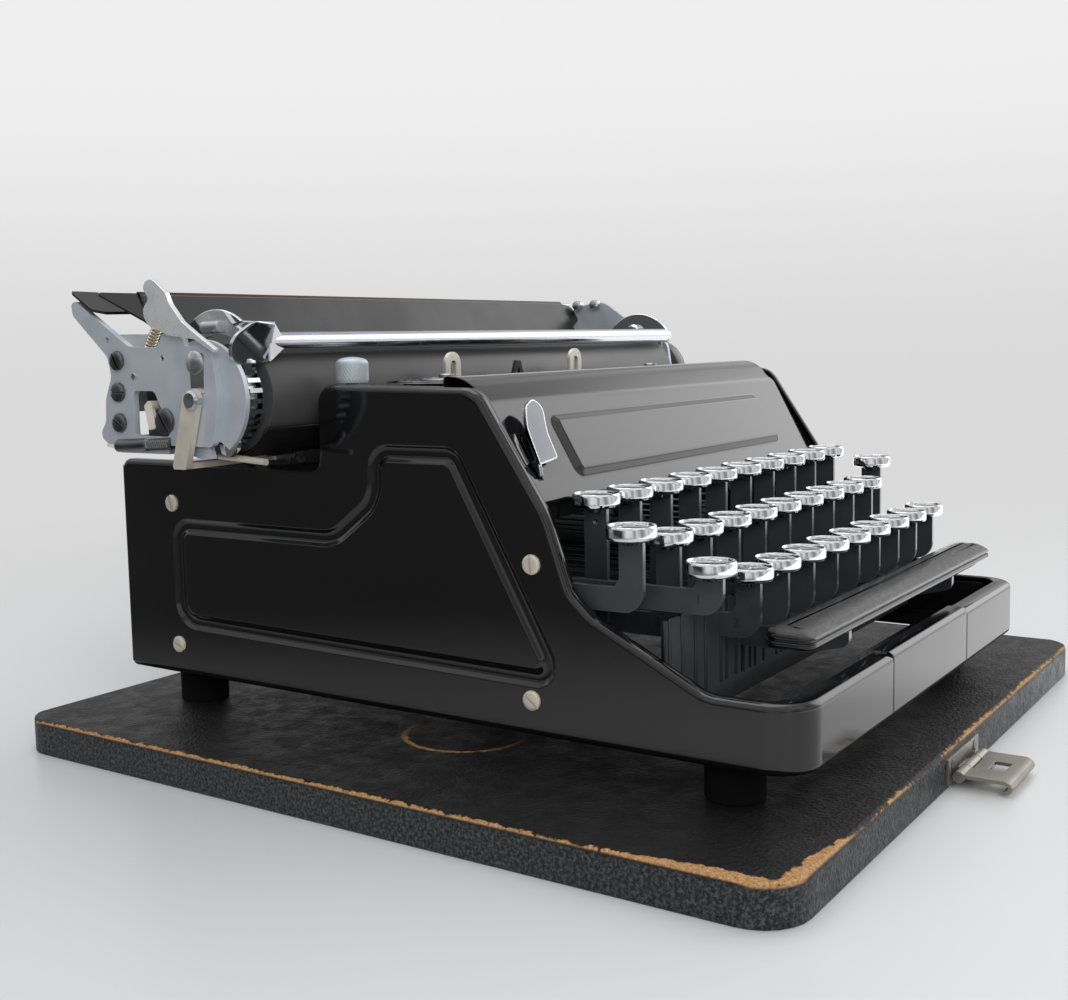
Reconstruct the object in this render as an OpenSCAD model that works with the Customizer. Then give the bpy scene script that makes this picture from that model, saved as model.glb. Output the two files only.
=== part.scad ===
// Portable three-bank typewriter standing on the base board of its carrying case.
// Millimetres. X runs to the typist's right, Y to the back and Z up.
// The origin is the middle of the base board's underside.

/* [Base board] */
// Margin of the board beyond each side of the body
board_side_margin = 36.5; // [30:0.5:50]
// Margin of the board in front of the body
board_front_margin = 11.5; // [8:0.5:20]
// Margin of the board behind the body
board_back_margin = 13.5; // [8:0.5:25]
// Thickness of the board
board_t = 11; // [8:0.5:16]
// Radius of the board's corners seen from above
board_corner_r = 13; // [6:1:24]
// Chamfer along the board's upper edge
board_edge = 1.2; // [0.6:0.2:2]
// Height of the rubber feet between board and body
foot_h = 11; // [8:0.5:16]
// Radius of a rubber foot
foot_r = 8; // [5:0.5:9]

/* [Body] */
// Depth of the body from front face to back face
body_d = 244; // [236:1:300]
// Height of the body's front part, up to the deck
top_h = 96.5; // [88:0.5:116]
// Height of the body's rear part, under the carriage
low_h = 71.5; // [66:0.5:76]
// Height of the band round the front of the keyboard
band_h = 18.3; // [14:0.5:20]
// Distance from the front face to the carriage cut-out
cut_y = 154.2; // [150:0.5:156]
// Thickness of the pressed sheet
wall = 1.6; // [1.2:0.1:2]
// Radius of the body's front corners seen from above
corner_r = 12; // [8:1:20]
// Width of the flange turned in along a side panel's edge
flange = 4; // [2.6:0.2:4.4]
// Width of the lip turned in along the front band
front_lip = 6; // [4:0.5:8]
// Half the width of the front plate between the two seams
seam_x = 36; // [20:1:60]
// Width of the groove pressed into a side panel
groove_w = 4.6; // [3:0.2:6]
// Depth of the groove pressed into a side panel
groove_depth = 0.9; // [0.4:0.1:1.1]

/* [Keyboard] */
// Distance between neighbouring keys of a row
key_pitch = 19.05; // [19:0.05:22]
// Room between the outermost key levers and the side faces
key_side_gap = 6.25; // [6:0.25:9]
// Radius of a key's metal ring
key_r = 6.8; // [5:0.1:7.4]
// Height of a key's metal ring
key_h = 4; // [3:0.2:5]
// Thickness of a key lever
lever_t = 1.4; // [1:0.1:1.6]
// Depth of a key lever seen from the side
lever_h = 6.6; // [5:0.2:8]
// Height of the levers' underside over the body's underside
lever_z = 25.5; // [24:0.5:28]
// Distance from the front face to the third row
row_y = 30.5; // [28:0.5:33]
// Distance between rows, front to back
row_step = 19.4; // [18:0.2:21]
// Height of the third row's key tops over the body's underside
row_z = 45.5; // [43:0.5:50]
// Rise from row to row
row_rise = 10; // [8:0.5:12]
// Angle through which a key lever swings
key_swing = 5.2; // [4:0.1:5.6]
// Length of the space bar
space_w = 168; // [140:1:176]
// Depth of the space bar
space_d = 14; // [10:0.5:15]
// Thickness of the space bar
space_t = 5.4; // [4:0.2:7]

/* [Fulcrum] */
// Distance from the front face to the fulcrum rod
fulcrum_y = 178; // [170:1:184]
// Radius of the fulcrum rod
rod_r = 2; // [1.5:0.1:2.4]

/* [Type basket] */
// Number of typebars
typebars_n = 28; // [20:1:28]
// Length of a typebar from pivot to type
typebar_len = 52; // [48:1:54]
// Angle over which the typebars fan out
fan = 116; // [90:1:120]

/* [Carriage] */
// Width over the carriage's end plates
carriage_w = 270; // [250:1:300]
// Distance that the carriage stands to the right of the middle
carriage_x = 5.5; // [-20:0.5:20]
// Radius of the platen
platen_r = 16.5; // [14:0.5:17]
// Height of the platen's axis over the rear part of the side panels
platen_rise = 21.5; // [20:0.5:26]
// Gap between the carriage cut-out and the platen
platen_gap = 3.3; // [2.4:0.1:6]
// Thickness of the carriage's end plates
plate_t = 2; // [1.5:0.1:3]
// Number of teeth on the line ratchet
ratchet_n = 30; // [24:1:36]
// Radius of the paper bail's bar
bail_r = 2.3; // [1.5:0.1:3]

/* [Ribbon] */
// Radius of a ribbon spool's flange
spool_r = 19; // [14:0.5:20]
// Distance from the middle to each ribbon spool
spool_x = 66; // [64:1:72]
// Distance from the middle to each ribbon guide prong
prong_x = 39; // [30:1:42]

/* [Fits] */
// Radial clearance of a running fit
run_fit = 0.05; // [0.02:0.01:0.09]
// Gap between pieces that lie beside each other
seat_gap = 0.2; // [0.1:0.05:0.3]
// Gap between pieces that move past each other
slide_gap = 0.3; // [0.2:0.05:0.6]

/* [Hidden] */
$fn = 40;
CHARS = ["q", "w", "e", "r", "t", "y", "u", "i", "o", "p",
         "a", "s", "d", "f", "g", "h", "j", "k", "l",
         "z", "x", "c", "v", "b", "n", "m", "comma", "stop"];
KEY_NODES = [for (c = CHARS) str("key_", c)];

// Body and board sizes that follow from the driving ones
body_w = 10 * key_pitch + 2 * key_side_gap;
board_w = body_w + 2 * board_side_margin;
board_d = board_front_margin + body_d + board_back_margin;
body_y = -board_d / 2 + board_front_margin;
body_z = board_t + foot_h;
frame_x = body_w / 2 - wall - 2 * seat_gap;
frame_t = wall;
frame_in = frame_x - frame_t;
panel_in = body_w / 2 - flange - slide_gap;

// Keyboard places
rod_hole_r = rod_r + run_fit;
fulcrum_z = lever_z + lever_h / 2;
char_x0 = -body_w / 2 + key_side_gap + 14.75;
fig_x = -body_w / 2 + key_side_gap;
caps_x = fig_x + 7;
back_x = body_w / 2 - key_side_gap - 0.8;
row_shift = [0, 6, 15.5];
row_first = [0, 10, 19];
row_len = [10, 9, 9];
comb_y = row_y + 8.5;
comb_t = 1.6;
comb_top = lever_z + lever_h + 3;
comb_drop = (fulcrum_y - comb_y) * sin(key_swing) + 1;
comb_slot = lever_t + 2 * slide_gap;
arm_xs = [for (i = [1, 6]) char_x0 + (row_shift[1] + row_shift[2]) / 2 + i * key_pitch];
arm_t = 2;

// Carriage places, in the body's frame
platen_y = cut_y + platen_gap + platen_r;
platen_z = low_h + platen_rise;
plate_lo = carriage_x - carriage_w / 2;
plate_hi = carriage_x + carriage_w / 2;
shaft_r = 3;
stub_r = 2.2;
stud_web = 0.8;
link_t = 2.2;
guard_r = platen_r + 1;
guard_t = 1.5;
ratchet_r = platen_r - 2;
bar_z = low_h + 5;
bail_y = platen_y - 12.3;
bail_z = platen_z + 14.6;
bail_pivot = [platen_y + 15.5, platen_z + 12];
bail_pin_r = 1.5;

// Type basket and ribbon places
print_y = cut_y - 2;
print_z = platen_z;
seg_t = 6;
seg_y = print_y - 9.4;
deck_z = top_h - 15.5;
spool_y = cut_y - 23;
knob_y = cut_y - 7;
knob_x = -frame_in + 5.7;

// Cover profile corners, as distance from the front face and height
cover_foot = [77.6, top_h - 32.5];
cover_knee = [93, top_h - 6];
cover_back = 109;
slot_x = -body_w / 2 + 10;
colour_pivot = [99, top_h - 27];
slope_a = atan2(cover_knee[1] - cover_foot[1], cover_knee[0] - cover_foot[0]);

// Colours
BLACK = [0.03, 0.03, 0.035];
STEEL = [0.62, 0.66, 0.7];
CHROME = [0.82, 0.83, 0.85];
NICKEL = [0.66, 0.62, 0.54];

// First two numbers of a corner
function xy(p) = [p[0], p[1]];
function unit(v) = v / norm(v);

// Arc points that round corner q, [x, y, radius], between its neighbours p and s
function turn(p, q, s) =
    let (a = unit(xy(p) - xy(q)), b = unit(xy(s) - xy(q)), half = acos(a * b) / 2)
    q[2] <= 0 || norm(a + b) < 0.01 ? [xy(q)] :
    let (mid = unit(a + b), c = xy(q) + mid * q[2] / sin(half), out = -mid,
         side = [-out[1], out[0]], k = sign(a * side), lead = 90 - half, n = max(2, ceil(lead / 8)))
    [for (i = [0:n]) let (f = lead * (1 - 2 * i / n)) c + q[2] * (cos(f) * out + k * sin(f) * side)];

// Closed outline through corners [x, y, radius]
function rounded(pts) =
    let (n = len(pts))
    [for (i = [0:n - 1]) each turn(pts[(i + n - 1) % n], pts[i], pts[(i + 1) % n])];

// Ring sector between two radii and two angles
function crescent(r0, r1, a0, a1, n = 16) = concat(
    [for (i = [0:n]) let (a = a0 + (a1 - a0) * i / n) r1 * [cos(a), sin(a)]],
    [for (i = [0:n]) let (a = a1 + (a0 - a1) * i / n) r0 * [cos(a), sin(a)]]);

// Side outline of the body: distance from the front face, height, corner radius
function side_outline() = [
    [0, 0, 0], [body_d, 0, 0], [body_d, low_h, 3], [cut_y, low_h, 3], [cut_y, top_h, 6],
    [95.3, top_h - 1, 6], [72.5, top_h - 35.5, 30], [65.5, band_h + 22.5, 8], [59, band_h + 16.7, 8],
    [26, band_h, 10], [0, band_h, 0]];

// Plan outline of the body, drawn in by inset
function plan_outline(inset, back) =
    let (x = body_w / 2 - inset, r = max(corner_r - inset, 1))
    [[-x, inset, r], [x, inset, r], [x, back, 0], [-x, back, 0]];

// Moves to the body's frame: middle of the front face's lower edge
module in_body() {
    translate([0, body_y, body_z]) children();
}

// Plate of thickness t in a side view plane, drawn as [y, z], starting at x
module side_plate(x, t) {
    translate([x, 0, 0]) rotate([90, 0, 90]) linear_extrude(t) children();
}

// Round bar along X from x0 to x1 through [y, z]
module bar_x(x0, x1, c, r) {
    translate([x0, c[0], c[1]]) rotate([0, 90, 0]) cylinder(r = r, h = x1 - x0);
}

module base_board() color([0.07, 0.07, 0.07]) {
    w = board_w / 2;
    d = board_d / 2;
    intersection() {
        linear_extrude(board_t)
            polygon(rounded([[-w, -d, board_corner_r], [w, -d, board_corner_r],
                             [w, d, board_corner_r], [-w, d, board_corner_r]]));
        translate([0, d, 0]) rotate([90, 0, 0]) linear_extrude(board_d)
            polygon([[-w, 0], [w, 0], [w, board_t - board_edge], [w - board_edge, board_t],
                     [board_edge - w, board_t], [-w, board_t - board_edge]]);
        side_plate(-w, board_w)
            polygon([[-d, 0], [d, 0], [d, board_t - board_edge], [d - board_edge, board_t],
                     [board_edge - d, board_t], [-d, board_t - board_edge]]);
    }
}

// Middle of each foot, seen from above in the body's frame
feet = [for (s = [-1, 1], y = [24, body_d - 22]) [s * (frame_in - foot_r - 1.5), y]];

module rubber_feet() color([0.05, 0.05, 0.05]) in_body() {
    for (f = feet) translate([f[0], f[1], -foot_h]) {
        cylinder(r = foot_r, h = foot_h - 2);
        translate([0, 0, foot_h - 2]) cylinder(r1 = foot_r, r2 = foot_r - 1.5, h = 4);
    }
}

// Case catch at the board's front edge: fixed hinge leaf and the hasp that swings on it
catch_x = -10;
catch_w = 30;
catch_axis = [-board_d / 2 - 2.9, 3.8];
catch_pin_r = 0.9;
catch_r = 1.7;

module catch_plate() color(NICKEL) {
    difference() {
        union() {
            translate([catch_x - catch_w / 2, -board_d / 2 - 0.8, 1.4]) cube([catch_w, 0.8, 7.6]);
            bar_x(catch_x - 5, catch_x + 5, catch_axis, catch_r);
            translate([catch_x - 5, catch_axis[0], catch_axis[1] - 0.5])
                cube([10, -board_d / 2 - catch_axis[0], 1]);
        }
        for (s = [-1, 1]) translate([catch_x + s * 11, -board_d / 2, 6.6])
            rotate([90, 0, 0]) cylinder(r = 1, h = 3, center = true);
        bar_x(catch_x - 6, catch_x + 6, catch_axis, catch_pin_r + run_fit);
    }
}

module catch_hasp() color(NICKEL) {
    gap = slide_gap;
    y0 = catch_axis[0];
    z0 = catch_axis[1];
    difference() {
        union() {
            bar_x(catch_x - 13, catch_x + 13, catch_axis, catch_r);
            side_plate(catch_x - 13, 26)
                polygon([[y0 - 1, z0 - 0.2], [y0 - 1, z0 + 1], [y0 - 12.6, z0 + 1], [y0 - 14.2, z0 + 0.3],
                         [y0 - 14.9, z0 - 1], [y0 - 14.3, z0 - 2.3], [y0 - 12.8, z0 - 3], [y0 - 12.2, z0 - 2],
                         [y0 - 13.4, z0 - 1.4], [y0 - 13.6, z0 - 0.8], [y0 - 12.6, z0 - 0.2]]);
        }
        translate([catch_x - 4.5, y0 - 10.5, z0 - 1]) cube([9, 4.6, 3]);
        translate([catch_x - 5 - gap, y0 - catch_r - gap, z0 - 3]) cube([10 + 2 * gap, 2 * catch_r + 2 * gap, 6]);
    }
    bar_x(catch_x - 6, catch_x + 6, catch_axis, catch_pin_r);
}

// Band of sheet along the body's side outline
module outline_band() {
    difference() {
        polygon(rounded(side_outline()));
        offset(delta = -wall) polygon(rounded(side_outline()));
    }
}

// Closed loop that the pressed groove follows
function groove_path() = [
    [217.5, 38.7 - 20.3, 7], [217.5, low_h - 21.5, 5], [149, low_h - 21.5, 13],
    [132, low_h - 9, 12], [132, top_h - 20, 5], [103.5, top_h - 20, 5], [73.2, 22.5, 4],
    [72.5, 16.4, 3]];

// Screws that hold a side panel to the frame, as [y, z]
panel_holes = [[219.3, low_h - 14], [218.8, 10.2], [77.4, low_h - 23.7], [78.1, 10.2]];
panel_hole_r = 1.6;

// Room for the flange, which is narrower in front of the cover so that it clears the outermost key
module flange_zone() {
    key_room = body_w / 2 - char_x0 - (row_len[0] - 1) * key_pitch - key_r - slide_gap;
    translate([-body_w / 2, 0, 0]) cube([min(flange, key_room), body_d, top_h]);
    translate([-body_w / 2, cover_foot[0], 0]) cube([flange, body_d - cover_foot[0], top_h]);
}

module side_panel() {
    difference() {
        intersection() {
            union() {
                linear_extrude(top_h) difference() {
                    polygon(rounded(plan_outline(0, body_d)));
                    polygon(rounded(plan_outline(wall, body_d + 1)));
                }
                intersection() {
                    linear_extrude(top_h) polygon(rounded(plan_outline(0, body_d)));
                    side_plate(-body_w / 2, body_w) outline_band();
                    union() {
                        flange_zone();
                        translate([-body_w / 2, 0, 0]) cube([body_w / 2, front_lip, top_h]);
                    }
                }
            }
            side_plate(-body_w / 2, body_w / 2) polygon(rounded(side_outline()));
            union() {
                flange_zone();
                translate([-body_w / 2, 0, 0]) cube([body_w / 2 - seam_x - seat_gap / 2, corner_r, top_h]);
            }
        }
        side_plate(-body_w / 2 - 1, groove_depth + 1) difference() {
            offset(r = groove_w / 2, $fn = 24) polygon(rounded(groove_path()));
            offset(delta = -groove_w / 2) polygon(rounded(groove_path()));
        }
        for (p = panel_holes) bar_x(-body_w / 2 - 1, -body_w / 2 + wall + 1, p, panel_hole_r);
    }
}

module side_panel_left() color(BLACK) in_body() side_panel();

module side_panel_right() color(BLACK) in_body() mirror([1, 0, 0]) side_panel();

module front_plate() color(BLACK) in_body() {
    x = seam_x - seat_gap / 2;
    h = band_h + 0.8;
    translate([-x, 0, 0]) rotate([90, 0, 90]) linear_extrude(2 * x)
        polygon([[0, 0], [front_lip, 0], [front_lip, wall], [wall, wall], [wall, h - wall],
                 [front_lip, h - wall], [front_lip, h], [0.6, h], [0, h - 0.6]]);
}

module rear_panel() color(BLACK) in_body() {
    x = body_w / 2 - wall - seat_gap;
    lip_x = frame_in - seat_gap;
    y = body_d - wall - seat_gap;
    low = wall + seat_gap;
    top = low_h - wall - 1;
    translate([-x, y - wall, low]) cube([2 * x, wall, top - low]);
    translate([-lip_x, y - 8, top - wall]) cube([2 * lip_x, 8, wall]);
}

// Chassis: two side plates, floor strips, ribbon deck and the deck that carries the rail
module inner_frame() color([0.1, 0.1, 0.11]) in_body() {
    inset = wall + 0.6;
    floor_z = 2;
    rear_y = body_d - 2 * wall - 2 * seat_gap;
    difference() {
        union() {
            for (s = [-1, 1]) side_plate(s > 0 ? frame_in : -frame_x, frame_t) intersection() {
                offset(delta = -inset) polygon(rounded(side_outline()));
                translate([corner_r, floor_z]) square([rear_y - corner_r, top_h]);
            }
            for (s = [-1, 1]) translate([s > 0 ? frame_in - 2 * foot_r - 3 : -frame_in, corner_r, floor_z])
                cube([2 * foot_r + 3, rear_y - corner_r, wall]);
            for (y = [corner_r, rear_y - 18]) translate([-frame_in, y, floor_z])
                cube([2 * frame_in, 18, wall]);
            bar_x(-frame_in - 0.5, slot_x + 1.5, colour_pivot, 1.2 - run_fit);
            translate([-frame_in, platen_y + 12, low_h - 7.5]) cube([2 * frame_in, rear_y - platen_y - 12 - 9, wall]);
            for (s = [-1, 1]) translate([s > 0 ? spool_x - spool_r - 1 : -frame_in, cover_back + 2, deck_z])
                cube([frame_in - spool_x + spool_r + 1, cut_y - 4.5 - cover_back, wall]);
        }
        bar_x(-frame_x - 1, frame_x + 1, [fulcrum_y, fulcrum_z], rod_hole_r);
        for (p = panel_holes, s = [-1, 1]) bar_x(s * frame_x - 3, s * frame_x + 3, p, panel_hole_r);
        for (s = [-1, 1]) translate([s * spool_x, spool_y, deck_z - 1]) cylinder(r = 3 + run_fit, h = wall + 2);
        translate([knob_x, knob_y, deck_z - 1]) cylinder(r = 2 + run_fit, h = wall + 2);
    }
}

module panel_screws() color(NICKEL) in_body() {
    for (p = panel_holes, s = [-1, 1]) mirror([s > 0 ? 1 : 0, 0, 0]) translate([-body_w / 2, p[0], p[1]])
        rotate([0, -90, 0]) {
            difference() {
                cylinder(r1 = 2.7, r2 = 2.2, h = 1);
                translate([-3, -0.35, 0.5]) cube([6, 0.7, 1]);
            }
            translate([0, 0, -2.5 * wall]) cylinder(r = panel_hole_r - 0.03, h = 2.5 * wall);
        }
}

// Ribbon cover: slope, rounded ridge and turned-down ends, with a raised panel and a lever slot
emboss_x = 72;
emboss_h = 0.9;

function cover_profile() =
    let (k = cover_knee, f = cover_foot)
    [[f[0] - 0.4, f[1] - 5, 0], [f[0] + 1.2, f[1] - 5, 0], [f[0] + 1.2, f[1], 1], [k[0] + 1.5, k[1] - 0.8, 7],
     [k[0] + 10, top_h + 0.4, 12], [cover_back - wall, top_h + 0.4, 0], [cover_back - wall, top_h - 6, 0],
     [cover_back, top_h - 6, 0], [cover_back, top_h + 2, 0.8], [k[0] + 9, top_h + 2, 12],
     [k[0], k[1] + 0.6, 8], [f[0] - 0.4, f[1] + 0.2, 1.5]];

module top_cover() color(BLACK) in_body() {
    x = panel_in;
    difference() {
        union() {
            side_plate(-x, 2 * x) polygon(rounded(cover_profile()));
            translate([0, cover_foot[0] - 0.4, cover_foot[1] + 0.2]) rotate([slope_a, 0, 0])
                translate([-emboss_x, 5.5, -1]) cube([2 * emboss_x, 19.5, 1 + emboss_h]);
        }
        translate([slot_x - 1.4, cover_foot[0] - 0.4, cover_foot[1] + 0.2]) rotate([slope_a, 0, 0])
            translate([0, 6, -4]) cube([2.8, 15, 8]);
    }
}

// Place of a lever's riser and key top by row
function key_y(row) = row_y + (2 - row) * row_step;
function key_z(row) = row_z + (2 - row) * row_rise;

// Swinging key: lever with its bored hub, bent up to the ring with its glass top
module key_lever(x, y, z, drop = 0) {
    h = lever_h;
    lz = lever_z + drop;
    side_plate(x - lever_t / 2, lever_t) difference() {
        union() {
            polygon(rounded([[fulcrum_y, fulcrum_z - h / 2, 0], [fulcrum_y, fulcrum_z + h / 2, 0],
                             [y + 40, lz + h, 12], [y + 3.6, lz + h, 3], [y + 3.6, z - key_h, 0],
                             [y - 3.6, z - key_h, 0], [y - 3.6, lz, 6], [y + 44, lz, 12]]));
            translate([fulcrum_y, fulcrum_z]) circle(r = h / 2 + 1);
        }
        translate([fulcrum_y, fulcrum_z]) circle(r = rod_hole_r);
        translate([y, z - key_h - 4]) circle(r = 0.9, $fn = 16);
    }
    translate([x, y, z - key_h]) rotate_extrude($fn = 48)
        polygon([[0, -1.2], [2.6, -1.2], [3.4, 0], [key_r - 0.9, 0], [key_r - 0.2, 0.5], [key_r, 1.3],
                 [key_r, key_h - 0.5], [key_r - 0.45, key_h], [key_r - 0.9, key_h - 0.3],
                 [key_r - 1, key_h - 0.9], [0, key_h - 0.5]]);
}

// Character key number i, counted along the rows from the back
module char_key(i) color(CHROME) in_body() {
    row = i < row_first[1] ? 0 : i < row_first[2] ? 1 : 2;
    key_lever(char_x0 + row_shift[row] + (i - row_first[row]) * key_pitch, key_y(row), key_z(row));
}

module key_fig() color(CHROME) in_body() key_lever(fig_x, key_y(1), key_z(1) + 4, 10.5);

module key_caps() color(CHROME) in_body() key_lever(caps_x, key_y(2), key_z(2) + 5, 10.5);

module key_back() color(CHROME) in_body() key_lever(back_x, key_y(1) + 2.5, key_z(1) + 6.5, 4);

module space_bar() color([0.02, 0.02, 0.02]) in_body() {
    y0 = 5.2;
    z0 = 28;
    w = space_w / 2;
    difference() {
        linear_extrude(z0 + space_t)
            polygon(rounded([[-w, y0, 4], [w, y0, 4], [w, y0 + space_d, 5], [-w, y0 + space_d, 5]]));
        translate([0, 0, -1]) linear_extrude(z0 + 1) square([3 * w, 100], center = true);
        side_plate(-w - 1, 2 * w + 2) polygon([[y0 - 1, z0 + 3.6], [y0 + 1, z0 + 4.6], [y0 + 3, z0 + space_t],
            [y0 + 3, z0 + space_t + 1], [y0 - 1, z0 + space_t + 1]]);
    }
    for (x = arm_xs) side_plate(x - arm_t / 2, arm_t) difference() {
        union() {
            polygon(rounded([[fulcrum_y, fulcrum_z - 3, 0], [fulcrum_y, fulcrum_z + 3, 0], [95, fulcrum_z + 3, 12],
                             [66, z0 - 2, 12], [y0 + 14, z0 - 2, 2], [y0 + 12, z0 + 0.4, 0], [y0 + 2, z0 + 0.4, 0],
                             [y0 + 2, z0 - 5, 3], [y0 + 14, z0 - 8, 4], [60, z0 - 8, 12], [95, fulcrum_z - 3, 12]]));
            translate([fulcrum_y, fulcrum_z]) circle(r = 4.3);
        }
        translate([fulcrum_y, fulcrum_z]) circle(r = rod_hole_r);
    }
}

// X of every lever that runs through the comb
function lever_xs() = concat(
    [for (row = [0:2], i = [0:row_len[row] - 1]) char_x0 + row_shift[row] + i * key_pitch],
    [fig_x, caps_x, back_x]);

module lever_comb() color(STEEL) in_body() {
    x = panel_in;
    low = 6;
    difference() {
        translate([-x, comb_y, low]) cube([2 * x, comb_t, comb_top - low]);
        for (lx = lever_xs())
            translate([lx - comb_slot / 2, comb_y - 1, lever_z - comb_drop]) cube([comb_slot, comb_t + 2, 100]);
        for (ax = arm_xs) translate([ax - arm_t / 2 - slide_gap, comb_y - 1, lever_z - 14])
            cube([arm_t + 2 * slide_gap, comb_t + 2, 100]);
    }
    translate([-x, comb_y + comb_t, low]) cube([2 * x, 5, comb_t]);
}

module fulcrum_rod() color(STEEL) in_body() {
    bar_x(-frame_x - 0.2, frame_x + 0.2, [fulcrum_y, fulcrum_z], rod_r);
}

// Pivot of typebar i on the segment's arc, as an angle from straight down
function bar_angle(i) = -fan / 2 + fan * i / (typebars_n - 1);

module type_basket() color(STEEL) in_body() {
    rim = 5;
    rest_y = typebar_len + 4;
    translate([0, seg_y, print_z]) rotate([-90, 0, 0]) {
        difference() {
            rotate([0, 0, 90 - fan / 2 - 4]) rotate_extrude(angle = fan + 8, $fn = 96)
                translate([typebar_len - 3, 0]) square([rim + 3, seg_t]);
            for (i = [0:typebars_n - 1]) rotate([0, 0, bar_angle(i)])
                translate([-0.7, typebar_len - 6, -1]) cube([1.4, 6.5, seg_t - 1]);
        }
    }
    for (s = [-1, 1]) {
        a = fan / 2 + 2;
        x0 = (typebar_len + 1) * sin(a);
        z0 = print_z - (typebar_len + 1) * cos(a);
        translate([s > 0 ? x0 - 2 : -frame_in + seat_gap, seg_y + 0.6, z0 - 4])
            cube([frame_in - seat_gap - x0 + 2, seg_t - 1.2, 8]);
    }
    for (i = [0:typebars_n - 1]) translate([0, seg_y, print_z]) rotate([0, -bar_angle(i), 0])
        translate([0, 0, -typebar_len]) {
            translate([-0.5, -rest_y, -1.8]) cube([1, rest_y + 3, 3.6]);
            translate([-1.2, -rest_y - 2.5, -3.2]) cube([2.4, 3.5, 6.4]);
        }
}

// Two slotted prongs that lead the ribbon, and the forked type guide between them
module ribbon_guides() color(NICKEL) in_body() {
    y = seg_y + seg_t + 1.4;
    foot = print_z - 34;
    top = print_z + 12;
    for (s = [-1, 1]) translate([s * prong_x, y, 0]) rotate([90, 0, 0]) linear_extrude(1.4) difference() {
        union() {
            translate([-4.2, foot]) square([8.4, top - foot - 4.2]);
            translate([0, top - 4.2]) circle(r = 4.2);
        }
        translate([-1.5, print_z - 8]) square([3, 15.5]);
        translate([0, print_z + 7.5]) circle(r = 1.5, $fn = 24);
    }
    translate([0, y, 0]) rotate([90, 0, 0]) linear_extrude(1.4) difference() {
        polygon([[-6, foot], [6, foot], [6, print_z - 4], [1.4, print_z + 8.4], [-1.4, print_z + 8.4], [-6, print_z - 4]]);
        polygon([[-3.6, print_z - 6], [3.6, print_z - 6], [0.2, print_z + 5.6], [-0.2, print_z + 5.6]]);
    }
    translate([-prong_x - 4.2, y - 1.4, foot]) cube([2 * prong_x + 8.4, 1.4, 5]);
    for (s = [-1, 1]) translate([s * (typebar_len - 6), y - 1.4, foot - 3])
        translate([-3, 0, 0]) cube([6, 1.4, 6]);
    for (s = [-1, 1]) translate([s > 0 ? prong_x : -typebar_len + 3, y - 1.4, foot])
        cube([typebar_len - 3 - prong_x, 1.4, 5]);
}

module ribbon_spool(s) color([0.2, 0.2, 0.21]) in_body() translate([s * spool_x, spool_y, deck_z]) {
    z0 = wall + seat_gap;
    h = top_h - deck_z + 3.6;
    difference() {
        rotate_extrude($fn = 64)
            polygon([[0, -4], [3, -4], [3, z0], [spool_r, z0], [spool_r, z0 + 1], [spool_r - 5, z0 + 1.2],
                     [spool_r - 5, h - 1.2], [spool_r, h - 1], [spool_r, h - 0.2], [8, h], [7, h + 1.4], [0, h + 1.6]]);
        for (a = [0:60:300]) rotate([0, 0, a]) translate([spool_r - 6.4, 0, h - 2.4]) cylinder(r = 1.6, h = 4, $fn = 24);
    }
}

module ribbon_spool_left() ribbon_spool(-1);

module ribbon_spool_right() ribbon_spool(1);

module winder_knob() color(STEEL) in_body() translate([knob_x, knob_y, deck_z]) {
    z1 = top_h - deck_z + 1.6;
    rotate_extrude($fn = 48)
        polygon([[0, -4], [2, -4], [2, wall + seat_gap], [3.2, wall + seat_gap], [3.2, wall + 1.4], [2, wall + 1.4],
                 [2, z1], [4.6, z1], [5, z1 + 0.4], [5, z1 + 4.6], [4.4, z1 + 5.4], [3.2, z1 + 6], [1.6, z1 + 6.3],
                 [0, z1 + 6.4]]);
}

// Ribbon colour lever: hub under the cover, stem through the slot, leaf for the finger along the slope
leaf_tilt = 7.5;

// Corner at distance t up the cover's slope and height n over it, with radius r
function on_slope(t, n, r = 0) =
    [cover_foot[0] - 0.4 + t * cos(slope_a) - n * sin(slope_a), cover_foot[1] + 0.2 + t * sin(slope_a) + n * cos(slope_a), r];

module colour_lever() color(CHROME) in_body() {
    p = colour_pivot;
    side_plate(slot_x - 0.7, 1.4) difference() {
        union() {
            polygon(rounded([[p[0] - 1, p[1] - 3.6, 0], [p[0] + 2, p[1] + 3, 0], on_slope(12.4, -4, 2), on_slope(11.6, 2.2, 0.4),
                             on_slope(10, 2, 0.4), on_slope(6.8, 0.8, 0.8), on_slope(7.6, -4, 2)]));
            translate(p) circle(r = 4);
        }
        translate(p) circle(r = 1.2);
    }
    root = on_slope(10, 1.4);
    translate([slot_x - 0.7, root[0], root[1]]) rotate([slope_a + leaf_tilt, 0, 0]) linear_extrude(1.2)
        polygon(rounded([[0, 0, 0.6], [9.7, 1.2, 1], [9.1, 9, 6], [11.4, 16.6, 3], [8, 19.4, 3], [3.2, 17.4, 3], [0, 11, 6]]));
}

module carriage_rail() color(STEEL) in_body() {
    y = platen_y + 18;
    z = low_h - 7.5 + wall;
    side_plate(-panel_in, 2 * panel_in)
        polygon([[y, z], [y + 18, z], [y + 18, z + 2], [y + 12, z + 2], [y + 12, bar_z - slide_gap - 1.6],
                 [y + 13.6, bar_z - slide_gap], [y + 11, bar_z - slide_gap], [y + 9, bar_z - slide_gap - 1.6],
                 [y + 7, bar_z - slide_gap], [y + 4.4, bar_z - slide_gap], [y + 6, bar_z - slide_gap - 1.6],
                 [y + 6, z + 2], [y, z + 2]]);
}

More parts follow.
